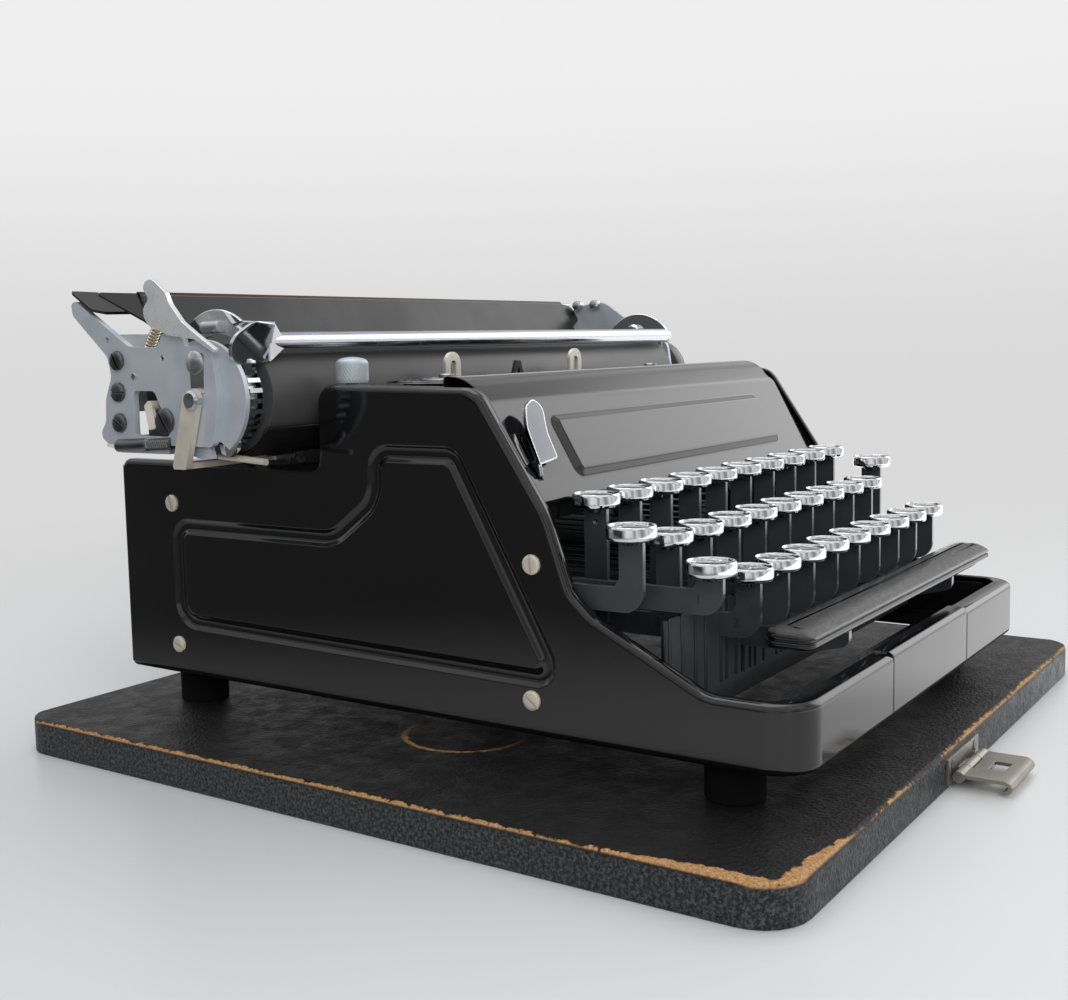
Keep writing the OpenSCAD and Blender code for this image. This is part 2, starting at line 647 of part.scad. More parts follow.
// Outline of the left end plate, from the arm's tip round by the front, as offsets from the platen's axis
function plate_outline() = [
    [55.5, 29.6, 1], [53.5, 30.4, 1], [29.5, 16, 2], [16.5, 15.4, 1], [14.5, 19.4, 1.2], [6.5, 19.4, 1.2],
    [4.5, 15.8, 1], [-6, 15.8, 3], [-8.2, 1, 10], [-5.5, -13.6, 2], [41, -13.6, 0.8], [45, -11.4, 2.4],
    [41.6, -7, 3], [41.2, 0, 8], [38, 7, 5], [39.5, 13, 5], [55, 26, 3]];

// Screw heads on the left end plate: offsets from the platen's axis, radius, angle of the slot
plate_screws = [[34.7, 11.8, 3, 60], [34.8, 2.2, 3, 0], [34.8, -7.1, 3, 30], [14.4, -6.4, 3.9, 55]];

module carriage_plate_left() color(STEEL) in_body() {
    difference() {
        union() {
            side_plate(plate_lo, plate_t) translate([platen_y, platen_z]) difference() {
                polygon(rounded(plate_outline()));
                polygon(rounded([[28.3, -11, 1], [28.3, 2.6, 1.5], [19, 2.6, 2], [13, -8, 1], [13, -11, 1]]));
            }
            side_plate(plate_lo + plate_t, guard_t) translate([platen_y, platen_z]) difference() {
                circle(r = guard_r, $fn = 72);
                polygon([[-4, -20], [-7, -12.4], [-1, -11], [0, -20]]);
            }
        }
        bar_x(plate_lo + stud_web, plate_lo + 5, [platen_y, platen_z], shaft_r + run_fit);
        bar_x(plate_lo - 1, plate_lo + 5, bail_pivot, bail_pin_r + run_fit);
    }
    bar_x(plate_lo - slide_gap - link_t - 0.2, plate_lo + stud_web, [platen_y, platen_z], stub_r);
    bar_x(plate_lo - slide_gap - link_t - 1, plate_lo - slide_gap - link_t - 0.2, [platen_y, platen_z], stub_r + 0.9);
    for (q = plate_screws) difference() {
        bar_x(plate_lo - 1.1, plate_lo + 0.5, [platen_y + q[0], platen_z + q[1]], q[2]);
        translate([plate_lo - 1.1, platen_y + q[0], platen_z + q[1]]) rotate([q[3], 0, 0])
            cube([1, 10, 0.8], center = true);
    }
    bar_x(plate_lo - 0.8, plate_lo + 0.5, [platen_y + 0.5, platen_z + 10.9], 3.4);
    bar_x(plate_lo + plate_t, spring_from[0] + 2, [spring_from[1] + 0.9, spring_from[2] - 1.4], 0.9);
}

// Right end plate, the carriage bar over the rail and the tie between the arms
module carriage_frame() color(STEEL) in_body() {
    difference() {
        side_plate(plate_hi - plate_t, plate_t) translate([platen_y, platen_z])
            polygon(rounded([[47, 20, 2], [36, 30.6, 10], [21, 33, 10], [7, 23, 8], [-3, 17, 3], [-12, 13, 4], [-14, -1, 6],
                             [-8, -13.6, 3], [41, -13.6, 1], [43, -6, 3], [38, 8, 8]]));
        bar_x(plate_hi - 5, plate_hi + 1, [platen_y, platen_z], shaft_r + run_fit);
        bar_x(plate_hi - 5, plate_hi + 1, bail_pivot, bail_pin_r + run_fit);
    }
    side_plate(plate_lo + plate_t, carriage_w - 2 * plate_t) translate([platen_y, bar_z])
        polygon([[16, 0], [38, 0], [38, 5], [35, 5], [35, 2], [19, 2], [19, 5], [16, 5]]);
    side_plate(plate_lo + plate_t, carriage_w - 2 * plate_t) translate([platen_y, platen_z])
        polygon([[34, -4], [36, -4], [36, 12], [44.5, 18.4], [43.3, 20], [34, 13]]);
}

// Paper table: trough under the platen and the plate that leans back behind it
module paper_table() color(BLACK) in_body() {
    x0 = plate_lo + plate_t + 10;
    x1 = plate_hi - plate_t - 10;
    pan_r = platen_r + 0.7;
    translate([x0, platen_y, platen_z]) rotate([0, 90, 0]) rotate([0, 0, -60])
        rotate_extrude(angle = 150, $fn = 96) translate([pan_r, 0]) square([0.9, x1 - x0]);
    top = [37, 33.6];
    foot = [pan_r, -0.4];
    side_plate(x0, x1 - x0) translate([platen_y, platen_z])
        polygon([foot, foot + [0.9, 0], foot + [2.6, 6], top + [1.2, -0.2], top, foot + [1.6, 6.4]]);
    translate([0, platen_y, platen_z]) for (s = [-1, 1])
        side_plate(s > 0 ? x1 - 1 : plate_lo + plate_t + seat_gap, s > 0 ? 11 - seat_gap : 11 - seat_gap)
            polygon([top - [9.6, 13], top, top + [1.2, -0.2], top + [-8.2, -13.6]]);
    side_plate(plate_lo + plate_t + seat_gap, carriage_w - 2 * plate_t - 2 * seat_gap)
        translate([platen_y + top[0] + 0.8, platen_z + top[1] - 0.2]) circle(r = 0.9, $fn = 24);
}

module platen() color([0.03, 0.03, 0.03]) in_body() {
    x0 = plate_lo + plate_t + guard_t + 10.5;
    x1 = plate_hi - plate_t - 4;
    c = [platen_y, platen_z];
    bar_x(x0, x1, c, platen_r);
    bar_x(plate_lo + stud_web + 0.2, plate_hi + 2, c, shaft_r);
    translate([plate_lo + plate_t + guard_t + 3, c[0], c[1]]) rotate([90, 0, 90]) linear_extrude(5)
        polygon([for (i = [0:ratchet_n - 1], k = [0, 1]) let (a = (i + 0.55 * k) * 360 / ratchet_n)
                 (ratchet_r - 2.2 * k) * [cos(a), sin(a)]]);
    translate([plate_hi + 1.5, c[0], c[1]]) rotate([0, 90, 0]) rotate_extrude($fn = 64)
        polygon([[0, 0], [9, 0], [14, 1.4], [14.6, 3], [14.6, 9], [13.4, 11], [9, 12.6], [0, 13]]);
}

// Line-space lever: barrel along Y on the plate's tab, with a two-lobed finger piece
line_axis = [plate_lo + 1, platen_z + 21.4];

module line_space_lever() color(CHROME) in_body() {
    translate([line_axis[0], platen_y + 6.8, line_axis[1]]) rotate([-90, 0, 0]) cylinder(r = 1.8, h = 7.4);
    side_plate(line_axis[0] - 3, 1.8) translate([platen_y, platen_z])
        polygon(rounded([[20.9, 34.4, 2.2], [15.6, 35.8, 3.2], [10, 31.6, 3], [8.4, 28.2, 5], [3.6, 22.9, 5],
                         [-1.5, 19.6, 3], [-9.8, 14.6, 0.5], [-9.2, 13.6, 0.5], [-1.5, 17.6, 4], [9.4, 18.9, 8],
                         [18.6, 22.2, 5], [20.4, 27, 3], [17, 29.6, 1.5]]));
}

// Coil spring behind the left plate: points of the coil, then a tube swept along them
spring_turns = 14;
spring_len = 15;
spring_r = 1.5;
spring_wire = 0.3;
spring_from = [plate_lo + plate_t + 2.5, platen_y + 27.2, platen_z + 12.6];
spring_lean = 33;

function coil_point(t) = [spring_r * cos(360 * spring_turns * t), spring_r * sin(360 * spring_turns * t), spring_len * t];
spring_rings = 8 * spring_turns;
spring_end = [0, 2.4 * spring_wire, 0];
spring_pts = concat([coil_point(0) - spring_end],
                    [for (i = [0:spring_rings]) coil_point(i / spring_rings)],
                    [coil_point(1) + spring_end]);

// Least gap of a tube of radius r to itself, measured between the points of neighbouring turns
function least_gap(pts, r) =
    min([for (i = [0:len(pts) - 5], j = [i + 4:min(i + 12, len(pts) - 1)]) norm(pts[i] - pts[j])]) - 2 * r;
echo(least_gap_of_coil = least_gap(spring_pts, spring_wire));

// Ring of points round a path point p, square to the run d
function ring(p, d, r, n) =
    let (u = unit(cross(d, [0.13, 0.21, 1])), v = cross(unit(d), u))
    [for (k = [0:n - 1]) p + r * (cos(360 * k / n) * u + sin(360 * k / n) * v)];

module tube(pts, r, n) {
    m = len(pts);
    polyhedron(
        points = [for (i = [0:m - 1]) each ring(pts[i], pts[min(i + 1, m - 1)] - pts[max(i - 1, 0)], r, n)],
        faces = concat(
            [for (k = [1:n - 2]) [0, k, k + 1]],
            [for (k = [1:n - 2]) [(m - 1) * n, (m - 1) * n + k + 1, (m - 1) * n + k]],
            [for (i = [0:m - 2], k = [0:n - 1]) each
                [[i * n + k, (i + 1) * n + k, (i + 1) * n + (k + 1) % n],
                 [i * n + k, (i + 1) * n + (k + 1) % n, i * n + (k + 1) % n]]]));
}

module lever_spring() color([0.72, 0.6, 0.38]) in_body() {
    translate(spring_from) rotate([spring_lean, 0, 0]) tube(spring_pts, spring_wire, 6);
}

// Paper bail: bar on the paper, an arm at each end and the finger paddle on the left
module paper_bail() color(CHROME) in_body() {
    a0 = plate_lo + plate_t + guard_t + 5;
    a1 = plate_hi - plate_t - 1.7;
    arm = 1.6;
    bar_x(a0, a1, [bail_y, bail_z], bail_r);
    p = [bail_pivot[0] - platen_y, bail_pivot[1] - platen_z];
    q = [bail_y - platen_y, bail_z - platen_z];
    for (x = [a0, a1 - arm]) side_plate(x, arm) translate([platen_y, platen_z]) {
        polygon(crescent(norm(q) - 0.8, norm(q) + 6.4, atan2(p[1], p[0]), atan2(q[1], q[0])));
        translate(p) circle(r = bail_r + 1.1);
        translate(q) circle(r = bail_r + 1.1);
    }
    bar_x(plate_lo + 0.2, a0 + 1, bail_pivot, bail_pin_r);
    bar_x(a1 - 1, plate_hi - 0.2, bail_pivot, bail_pin_r);
    translate([plate_lo + 15, bail_y - bail_r + 0.9, bail_z + 1]) rotate([90, 0, 0]) linear_extrude(1.6)
        polygon(rounded([[0, -4, 1], [0, 8, 1], [-10, 8.6, 5], [-17.5, 3, 5], [-15, -4, 4]]));
}

// Release link: strap hung on the platen's end, with a rod turned in under the carriage
module release_link() color(NICKEL) in_body() {
    x = plate_lo - slide_gap - link_t;
    foot = low_h + 1.2 - platen_z;
    side_plate(x, link_t) translate([platen_y, platen_z]) difference() {
        polygon(rounded([[-3.2, 3.4, 3], [3.2, 3.4, 3], [9.6, foot, 1], [3.8, foot, 1]]));
        circle(r = stub_r + run_fit);
    }
    translate([x, platen_y + 4.4, low_h + 1.2]) cube([34, 4.6, 1.8]);
    translate([x + 33, platen_y + 6.7, low_h + 1.2]) linear_extrude(1.2)
        polygon([[0, -2.3], [3, -4], [11, -3], [17, 1.4], [9, 4.4], [0, 2.3]]);
}

base_board();
rubber_feet();
catch_plate();
catch_hasp();
side_panel_left();
side_panel_right();
front_plate();
rear_panel();
inner_frame();
panel_screws();
top_cover();
lever_comb();
fulcrum_rod();
space_bar();
type_basket();
ribbon_guides();
ribbon_spool_left();
ribbon_spool_right();
winder_knob();
colour_lever();
carriage_rail();
carriage_plate_left();
carriage_frame();
paper_table();
platen();
line_space_lever();
lever_spring();
paper_bail();
release_link();
key_fig();
key_caps();
key_back();
for (i = [0:len(CHARS) - 1]) char_key(i);
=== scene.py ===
"""Looks of a portable three-row typewriter on its case's base board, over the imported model."""

import logging
import math
from dataclasses import dataclass, field
from enum import Enum, IntEnum

import bmesh
import bpy
from mathutils import Matrix, Vector
from mathutils.geometry import delaunay_2d_cdt


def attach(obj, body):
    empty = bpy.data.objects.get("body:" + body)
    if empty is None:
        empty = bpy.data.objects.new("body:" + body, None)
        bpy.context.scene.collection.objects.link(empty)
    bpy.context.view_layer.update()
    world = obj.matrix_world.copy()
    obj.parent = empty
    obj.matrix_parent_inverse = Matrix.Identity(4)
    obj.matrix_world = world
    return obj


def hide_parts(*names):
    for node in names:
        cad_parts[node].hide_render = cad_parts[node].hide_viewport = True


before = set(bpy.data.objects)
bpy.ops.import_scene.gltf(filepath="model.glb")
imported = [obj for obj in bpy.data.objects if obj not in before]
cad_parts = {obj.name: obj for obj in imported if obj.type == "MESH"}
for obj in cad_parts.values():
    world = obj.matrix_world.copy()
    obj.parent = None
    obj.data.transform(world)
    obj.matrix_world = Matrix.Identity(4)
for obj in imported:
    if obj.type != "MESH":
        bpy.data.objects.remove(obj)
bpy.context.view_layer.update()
log = logging.getLogger("typewriter")

MM = 0.001
# Where the body's frame stands in the row frame, in millimetres: front face and lower edge
BODY_Y, BODY_Z = -123.0, 22.0
BODY_W, KEY_PITCH = 203.0, 19.05
# Axes of the lever rod and of the platen, as (y, z) of the body's frame
FULCRUM = (178.0, 28.8)
PLATEN = (174.0, 93.0)
# Outer faces of the carriage's end plates
PLATE_LO, PLATE_HI = -129.5, 140.5
# Level of the ribbon deck
DECK_Z = 81.0
# Directions to the machine's right and up
ACROSS, UP = Vector((1, 0, 0)), Vector((0, 0, 1))

Colour = tuple[float, float, float]
Point = tuple[float, float, float]
Flat = tuple[float, float]
Value = object
# Short names for Blender's own types
Wire = bpy.types.NodeSocket
Wires = bpy.types.NodeOutputs
Vert = bmesh.types.BMVert


def at(x: float, y: float, z: float) -> Vector:
    """A point of the body's frame in millimetres as a row frame vector in metres."""
    return Vector((x, y + BODY_Y, z + BODY_Z)) * MM


def off(points: list[Flat]) -> list[Flat]:
    """Side view points given from the platen's axis, as side view points of the body."""
    return [(y + PLATEN[0], z + PLATEN[1]) for y, z in points]


def smoothstep(t: float) -> float:
    """Eased step from 0 to 1 as t goes from 0 to 1."""
    t = min(max(t, 0.0), 1.0)
    return t * t * (3 - 2 * t)


# ---------------------------------------------------------------- shader groups


class Socket(Enum):
    """Kinds of socket on a shader group."""

    VALUE = "NodeSocketFloat"
    VECTOR = "NodeSocketVector"


class Nodes:
    """Short hand for filling a shader tree."""

    def __init__(self, tree: bpy.types.NodeTree) -> None:
        """Works on that tree."""
        self.tree = tree

    def node(self, kind: str, **settings: Value) -> bpy.types.Node:
        """Adds a node.

        Args:
            kind: Kind of node.
            settings: Its settings by name.

        Returns:
            The node.
        """
        made = self.tree.nodes.new(kind)
        for key, value in settings.items():
            setattr(made, key, value)
        return made

    def feed(self, target: Wire, value: Value) -> None:
        """Joins a socket to the target, or sets the target to a number or colour.

        Args:
            target: The input to feed.
            value: A socket, a number or a colour, or None to leave the input as it is.
        """
        if isinstance(value, Wire):
            self.tree.links.new(value, target)
        elif isinstance(value, tuple) and len(value) == 3 and target.type == "RGBA":
            target.default_value = (*value, 1.0)
        elif value is not None:
            target.default_value = value

    def math(self, operation: str, a: Value, b: Value = None) -> Wire:
        """Adds a maths node.

        Args:
            operation: What it does.
            a: First socket or number.
            b: Second socket or number, if it takes one.

        Returns:
            The result's socket.
        """
        made = self.node("ShaderNodeMath", operation=operation)
        self.feed(made.inputs[0], a)
        self.feed(made.inputs[1], b)
        return made.outputs[0]

    def times(self, a: Value, b: Value) -> Wire:
        """The product of two sockets or numbers."""
        return self.math("MULTIPLY", a, b)

    def plus(self, a: Value, b: Value) -> Wire:
        """The sum of two sockets or numbers."""
        return self.math("ADD", a, b)

    def coords(self) -> Wire:
        """Object coordinates of the surface."""
        return self.node("ShaderNodeTexCoord").outputs["Object"]

    def split(self, vector: Wire) -> Wires:
        """Takes a vector apart.

        Args:
            vector: The vector's socket.

        Returns:
            Its parts, as outputs X, Y and Z.
        """
        made = self.node("ShaderNodeSeparateXYZ")
        self.feed(made.inputs[0], vector)
        return made.outputs

    def facing(self) -> Wire:
        """Normal of the surface."""
        return self.node("ShaderNodeNewGeometry").outputs["Normal"]

    def vectors(self, operation: str, vector: Wire, by: Value) -> Wires:
        """Adds a vector maths node.

        Args:
            operation: What it does.
            vector: Socket of the first vector.
            by: Second vector, a socket or plain numbers.

        Returns:
            The node's outputs.
        """
        made = self.node("ShaderNodeVectorMath", operation=operation)
        self.feed(made.inputs[0], vector)
        self.feed(made.inputs[1], by)
        return made.outputs

    def noise(self, scale: Value, detail: float = 4.0, rough: float = 0.55,
              vector: Wire | None = None) -> Wire:
        """Noise over object coordinates.

        Args:
            scale: Socket or number for the noise scale, per metre.
            detail: Octaves.
            rough: Roughness of the octaves.
            vector: Coordinates, or None for the object's own.

        Returns:
            The factor's socket.
        """
        made = self.node("ShaderNodeTexNoise")
        made.inputs["Detail"].default_value = detail
        made.inputs["Roughness"].default_value = rough
        self.feed(made.inputs["Vector"], vector or self.coords())
        self.feed(made.inputs["Scale"], scale)
        return made.outputs["Fac"]

    def ramp(self, source: Wire, low: float, high: float, to_low: float = 0.0,
             to_high: float = 1.0) -> Wire:
        """Maps a value smoothly to another range, and clamps it there.

        Args:
            source: The value's socket.
            low: Value that becomes to_low.
            high: Value that becomes to_high.
            to_low: Result at low and beyond it.
            to_high: Result at high and beyond it.

        Returns:
            The result's socket.
        """
        made = self.node("ShaderNodeMapRange", interpolation_type="SMOOTHSTEP")
        self.feed(made.inputs["Value"], source)
        for name, value in (("From Min", low), ("From Max", high), ("To Min", to_low), ("To Max", to_high)):
            made.inputs[name].default_value = value
        return made.outputs["Result"]

    def mix(self, a: Value, b: Value, factor: Wire) -> Wire:
        """Mixes two colours.

        Args:
            a: Colour or socket at factor 0.
            b: Colour or socket at factor 1.
            factor: The factor's socket.

        Returns:
            The mixed colour's socket.
        """
        made = self.node("ShaderNodeMix", data_type="RGBA")
        self.feed(made.inputs[0], factor)
        self.feed(made.inputs[6], a)
        self.feed(made.inputs[7], b)
        return made.outputs[2]

    def bump(self, height: Wire, strength: float, depth: float) -> Wire:
        """Adds a bump node.

        Args:
            height: The height's socket.
            strength: Strength of the bump.
            depth: Depth at full height, in metres.

        Returns:
            The normal's socket.
        """
        made = self.node("ShaderNodeBump")
        made.inputs["Strength"].default_value = strength
        made.inputs["Distance"].default_value = depth
        self.feed(made.inputs["Height"], height)
        return made.outputs["Normal"]

    def group(self, name: str, **inputs: Value) -> Wires:
        """Places a shader group.

        Args:
            name: Name of the group.
            inputs: What feeds its inputs, by name.

        Returns:
            The group's outputs.
        """
        made = self.node("ShaderNodeGroup", node_tree=bpy.data.node_groups[name])
        for key, value in inputs.items():
            self.feed(made.inputs[key], value)
        return made.outputs


class Group(Nodes):
    """A shader node group being built: its tree, its inputs and its output."""

    def __init__(self, name: str, inputs: dict[str, tuple[Socket, Value]], outputs: tuple[str, ...]) -> None:
        """Makes the tree with its interface.

        Args:
            name: Name of the group.
            inputs: Socket kind and starting value by socket name.
            outputs: Names of the values that it puts out.
        """
        super().__init__(bpy.data.node_groups.new(name, "ShaderNodeTree"))
        for label, (kind, value) in inputs.items():
            item = self.tree.interface.new_socket(name=label, in_out="INPUT", socket_type=kind.value)
            item.default_value = value
        for label in outputs:
            self.tree.interface.new_socket(name=label, in_out="OUTPUT", socket_type=Socket.VALUE.value)
        self.given = self.node("NodeGroupInput").outputs
        self.result = self.node("NodeGroupOutput").inputs


def edge_wear_group() -> None:
    """Makes edge_wear: mask of worn edges, from the turn of the surface, broken up by noise."""
    g = Group("edge_wear", {"Reach": (Socket.VALUE, 0.0008), "Breakup": (Socket.VALUE, 900.0)}, ("Mask",))
    bevel = g.node("ShaderNodeBevel", samples=4)
    g.feed(bevel.inputs["Radius"], g.given["Reach"])
    turn = g.vectors("DOT_PRODUCT", bevel.outputs["Normal"], g.facing())["Value"]
    sharp = g.times(g.math("SUBTRACT", 1.0, turn), 6.0)
    broken = g.times(sharp, g.plus(g.noise(g.given["Breakup"], 5.0, 0.65), 0.1))
    g.feed(g.result["Mask"], g.ramp(broken, 0.35, 0.75))


def grain_group() -> None:
    """Makes fine_grain: fine and broad noise for bump, roughness and tone."""
    g = Group("fine_grain", {"Scale": (Socket.VALUE, 1500.0), "Stretch": (Socket.VECTOR, (1.0, 1.0, 1.0))},
              ("Fine", "Broad"))
    stretched = g.vectors("MULTIPLY", g.coords(), g.given["Stretch"])[0]
    g.feed(g.result["Fine"], g.noise(g.given["Scale"], 6.0, 0.6, stretched))
    g.feed(g.result["Broad"], g.noise(g.times(g.given["Scale"], 0.06), 3.0, 0.5, stretched))


def dust_group() -> None:
    """Makes settled_dust: mask of thin dust that lies on what faces up."""
    g = Group("settled_dust", {"Amount": (Socket.VALUE, 0.2)}, ("Mask",))
    up = g.ramp(g.split(g.facing())["Z"], 0.2, 1.0, 0.12, 1.0)
    fine = g.ramp(g.noise(900.0, 8.0, 0.8), 0.6, 0.8)
    broad = g.ramp(g.noise(60.0, 6.0, 0.7), 0.4, 0.8, 0.0, 0.4)
    g.feed(g.result["Mask"], g.times(g.times(up, g.plus(fine, broad)), g.given["Amount"]))


# ---------------------------------------------------------------- finishes


@dataclass(frozen=True)
class Finish:
    """A surface finish: base colour and shine, with grain, wear and dust over it."""

    name: str
    colour: Colour
    metallic: float = 0.0
    rough: float = 0.3
    rough_spread: float = 0.1
    specular: float = 0.5
    bump: float = 0.1
    bump_depth: float = 0.00005
    grain: float = 1500.0
    stretch: Point = (1.0, 1.0, 1.0)
    vary: float = 0.15
    wear: float = 0.0
    wear_reach: float = 0.0006
    wear_colour: Colour = (0.5, 0.5, 0.5)
    dust: float = 0.0
    dust_colour: Colour = (0.42, 0.41, 0.4)
    least_rough: float = 0.02

    def build(self) -> bpy.types.Material:
        """Makes the material.

        Returns:
            The material, with its node tree filled.
        """
        mat = bpy.data.materials.new(self.name)
        mat.use_nodes = True
        n = Nodes(mat.node_tree)
        sockets = mat.node_tree.nodes["Principled BSDF"].inputs
        sockets["Metallic"].default_value = self.metallic
        sockets["Specular IOR Level"].default_value = self.specular
        grain = n.group("fine_grain", Scale=self.grain, Stretch=self.stretch)
        tone = n.mix(self._scaled(1.0 - self.vary), self._scaled(1.0 + self.vary), grain["Broad"])
        smooth = max(self.rough - self.rough_spread, self.least_rough)
        dull = min(self.rough + self.rough_spread, 1.0)
        n.feed(sockets["Roughness"], n.ramp(grain["Broad"], 0.25, 0.75, smooth, dull))
        if self.wear > 0.0:
            worn = n.times(n.group("edge_wear", Reach=self.wear_reach)["Mask"], self.wear)
            tone = n.mix(tone, self.wear_colour, worn)
            n.feed(sockets["Metallic"], n.ramp(worn, 0.0, 1.0, self.metallic, 1.0))
        if self.dust > 0.0:
            tone = n.mix(tone, self.dust_colour, n.group("settled_dust", Amount=self.dust)["Mask"])
        n.feed(sockets["Base Color"], tone)
        n.feed(sockets["Normal"], n.bump(grain["Fine"], self.bump, self.bump_depth))
        self.refine(n, sockets)
        mat.diffuse_color = (*self.colour, 1.0)
        return mat

    def refine(self, n: Nodes, sockets: bpy.types.NodeInputs) -> None:
        """Room for a finish's own additions."""

    def _scaled(self, k: float) -> Colour:
        """The base colour times k."""
        return tuple(min(c * k, 1.0) for c in self.colour)


@dataclass(frozen=True)
class BoardCloth(Finish):
    """Leathercloth on the board, worn through to tan fibre along the upper edge."""

    # The board's half sizes and the height at which its top is told from its rim, in metres
    half_x: float = 0.138
    half_y: float = 0.1345
    height: float = 0.011
    # Middle of the scuffed arc and its radius
    scuff: Point = (-0.078, -0.005, 0.0192)
    # Darkest and palest tones of the bared fibre and of the rim
    fibre: tuple[Colour, Colour] = ((0.26, 0.13, 0.05), (0.60, 0.36, 0.17))
    rim: tuple[Colour, Colour] = ((0.012, 0.013, 0.014), (0.075, 0.08, 0.083))

    def refine(self, n: Nodes, sockets: bpy.types.NodeInputs) -> None:
        """Adds the worn edge, the rim's speckle, a scuffed arc and the coarse leather grain.

        Args:
            n: The material's tree.
            sockets: Inputs of its shader.
        """
        place = n.split(n.coords())
        ragged = n.times(n.math("SUBTRACT", n.noise(330.0, 7.0, 0.75), 0.5), 0.0055)
        top = n.ramp(place["Z"], self.height - 0.0017, self.height - 0.0008)
        worn = n.times(n.math("MAXIMUM", self._edge(n, place, ragged), self._arc(n, place, ragged)), top)
        cloth = sockets["Base Color"].links[0].from_socket
        tan = n.mix(*self.fibre, n.ramp(n.noise(1500.0, 6.0, 0.8), 0.35, 0.65))
        rim = n.mix(*self.rim, n.ramp(n.noise(1000.0, 5.0, 0.75), 0.42, 0.64))
        n.feed(sockets["Base Color"], n.mix(n.mix(rim, cloth, top), tan, worn))
        leather = n.node("ShaderNodeTexVoronoi")
        leather.inputs["Scale"].default_value = 760.0
        n.feed(leather.inputs["Vector"], n.coords())
        crinkle = n.plus(n.times(leather.outputs["Distance"], 0.55), n.times(n.noise(1300.0, 4.0, 0.7), 0.9))
        height = n.math("SUBTRACT", crinkle, n.times(worn, 0.35))
        n.feed(sockets["Normal"], n.bump(height, 0.9, 0.0006))
        polish = n.ramp(n.noise(150.0, 4.0, 0.6), 0.3, 0.7, 0.28, 0.46)
        n.feed(sockets["Roughness"], n.plus(polish, n.times(worn, 0.4)))

    def _edge(self, n: Nodes, place: Wires, ragged: Wire) -> Wire:
        """Mask of the worn edge, widest at the corner at the front left.

        Args:
            n: The material's tree.
            place: Coordinates of the surface.
            ragged: Noise that frays the wear, in metres.

        Returns:
            The mask's socket.
        """
        dx = n.math("SUBTRACT", self.half_x, n.math("ABSOLUTE", place["X"]))
        dy = n.math("SUBTRACT", self.half_y, n.math("ABSOLUTE", place["Y"]))
        edge = n.math("MINIMUM", dx, dy)
        from_corner = n.plus(n.plus(place["X"], self.half_x), n.plus(place["Y"], self.half_y))
        corner = n.ramp(from_corner, 0.012, 0.05, 1.0, 0.0)
        gate = n.ramp(n.noise(16.0, 3.0, 0.6), 0.33, 0.55)
        reach = n.plus(0.0002, n.plus(n.times(gate, 0.0012), n.times(corner, 0.0036)))
        worn = n.ramp(n.math("SUBTRACT", n.plus(reach, ragged), edge), -0.0001, 0.0003)
        return n.times(worn, n.ramp(edge, 0.0002, 0.0007))

    def _arc(self, n: Nodes, place: Wires, ragged: Wire) -> Wire:
        """Mask of the scuffed arc.

        Args:
            n: The material's tree.
            place: Coordinates of the surface.
            ragged: Noise that frays the wear, in metres.

        Returns:
            The mask's socket.
        """
        x, y, r = self.scuff
        rx, ry = n.math("SUBTRACT", place["X"], x), n.math("SUBTRACT", place["Y"], y)
        away = n.math("SQRT", n.plus(n.times(rx, rx), n.times(ry, ry)))
        ring = n.math("ABSOLUTE", n.math("SUBTRACT", away, r))
        ring = n.ramp(n.plus(ring, n.times(ragged, 0.8)), 0.0005, 0.0011, 1.0, 0.0)
        return n.times(ring, n.ramp(rx, -0.002, 0.006, 1.0, 0.0))


@dataclass(frozen=True)
class KeyGlass(Finish):
    """Clear glass of a key top."""

    def refine(self, n: Nodes, sockets: bpy.types.NodeInputs) -> None:
        """Makes it transmit."""
        sockets["Transmission Weight"].default_value = 1.0
        sockets["IOR"].default_value = 1.46


@dataclass(frozen=True)
class RibbedBar(Finish):
    """Moulded black bar whose top is crazed and scratched along its length."""

    # Scale of the crazing across, front to back and up
    craze: Point = (0.45, 1.0, 1.0)

    def refine(self, n: Nodes, sockets: bpy.types.NodeInputs) -> None:
        """Adds the crazing.

        Args:
            n: The material's tree.
            sockets: Inputs of its shader.
        """
        craze = n.noise(420.0, 7.0, 0.72, n.vectors("MULTIPLY", n.coords(), self.craze)[0])
        up = n.ramp(n.split(n.facing())["Z"], 0.5, 0.95)
        n.feed(sockets["Normal"], n.bump(n.times(craze, up), 0.8, 0.0009))
        n.feed(sockets["Roughness"], n.ramp(n.noise(300.0, 5.0, 0.7), 0.35, 0.7, 0.06, 0.2))


@dataclass(frozen=True)
class GuideMetal(Finish):
    """Nickel of the ribbon guides, blackened on the forked guide in the middle."""

    fork_x: float = 0.009
    fork_colour: Colour = (0.03, 0.03, 0.03)

    def refine(self, n: Nodes, sockets: bpy.types.NodeInputs) -> None:
        """Darkens the middle.

        Args:
            n: The material's tree.
            sockets: Inputs of its shader.
        """
        aside = n.math("ABSOLUTE", n.split(n.coords())["X"])
        nickel = sockets["Base Color"].links[0].from_socket
        outer = n.ramp(aside, self.fork_x, self.fork_x + 0.002)
        n.feed(sockets["Base Color"], n.mix(self.fork_colour, nickel, outer))


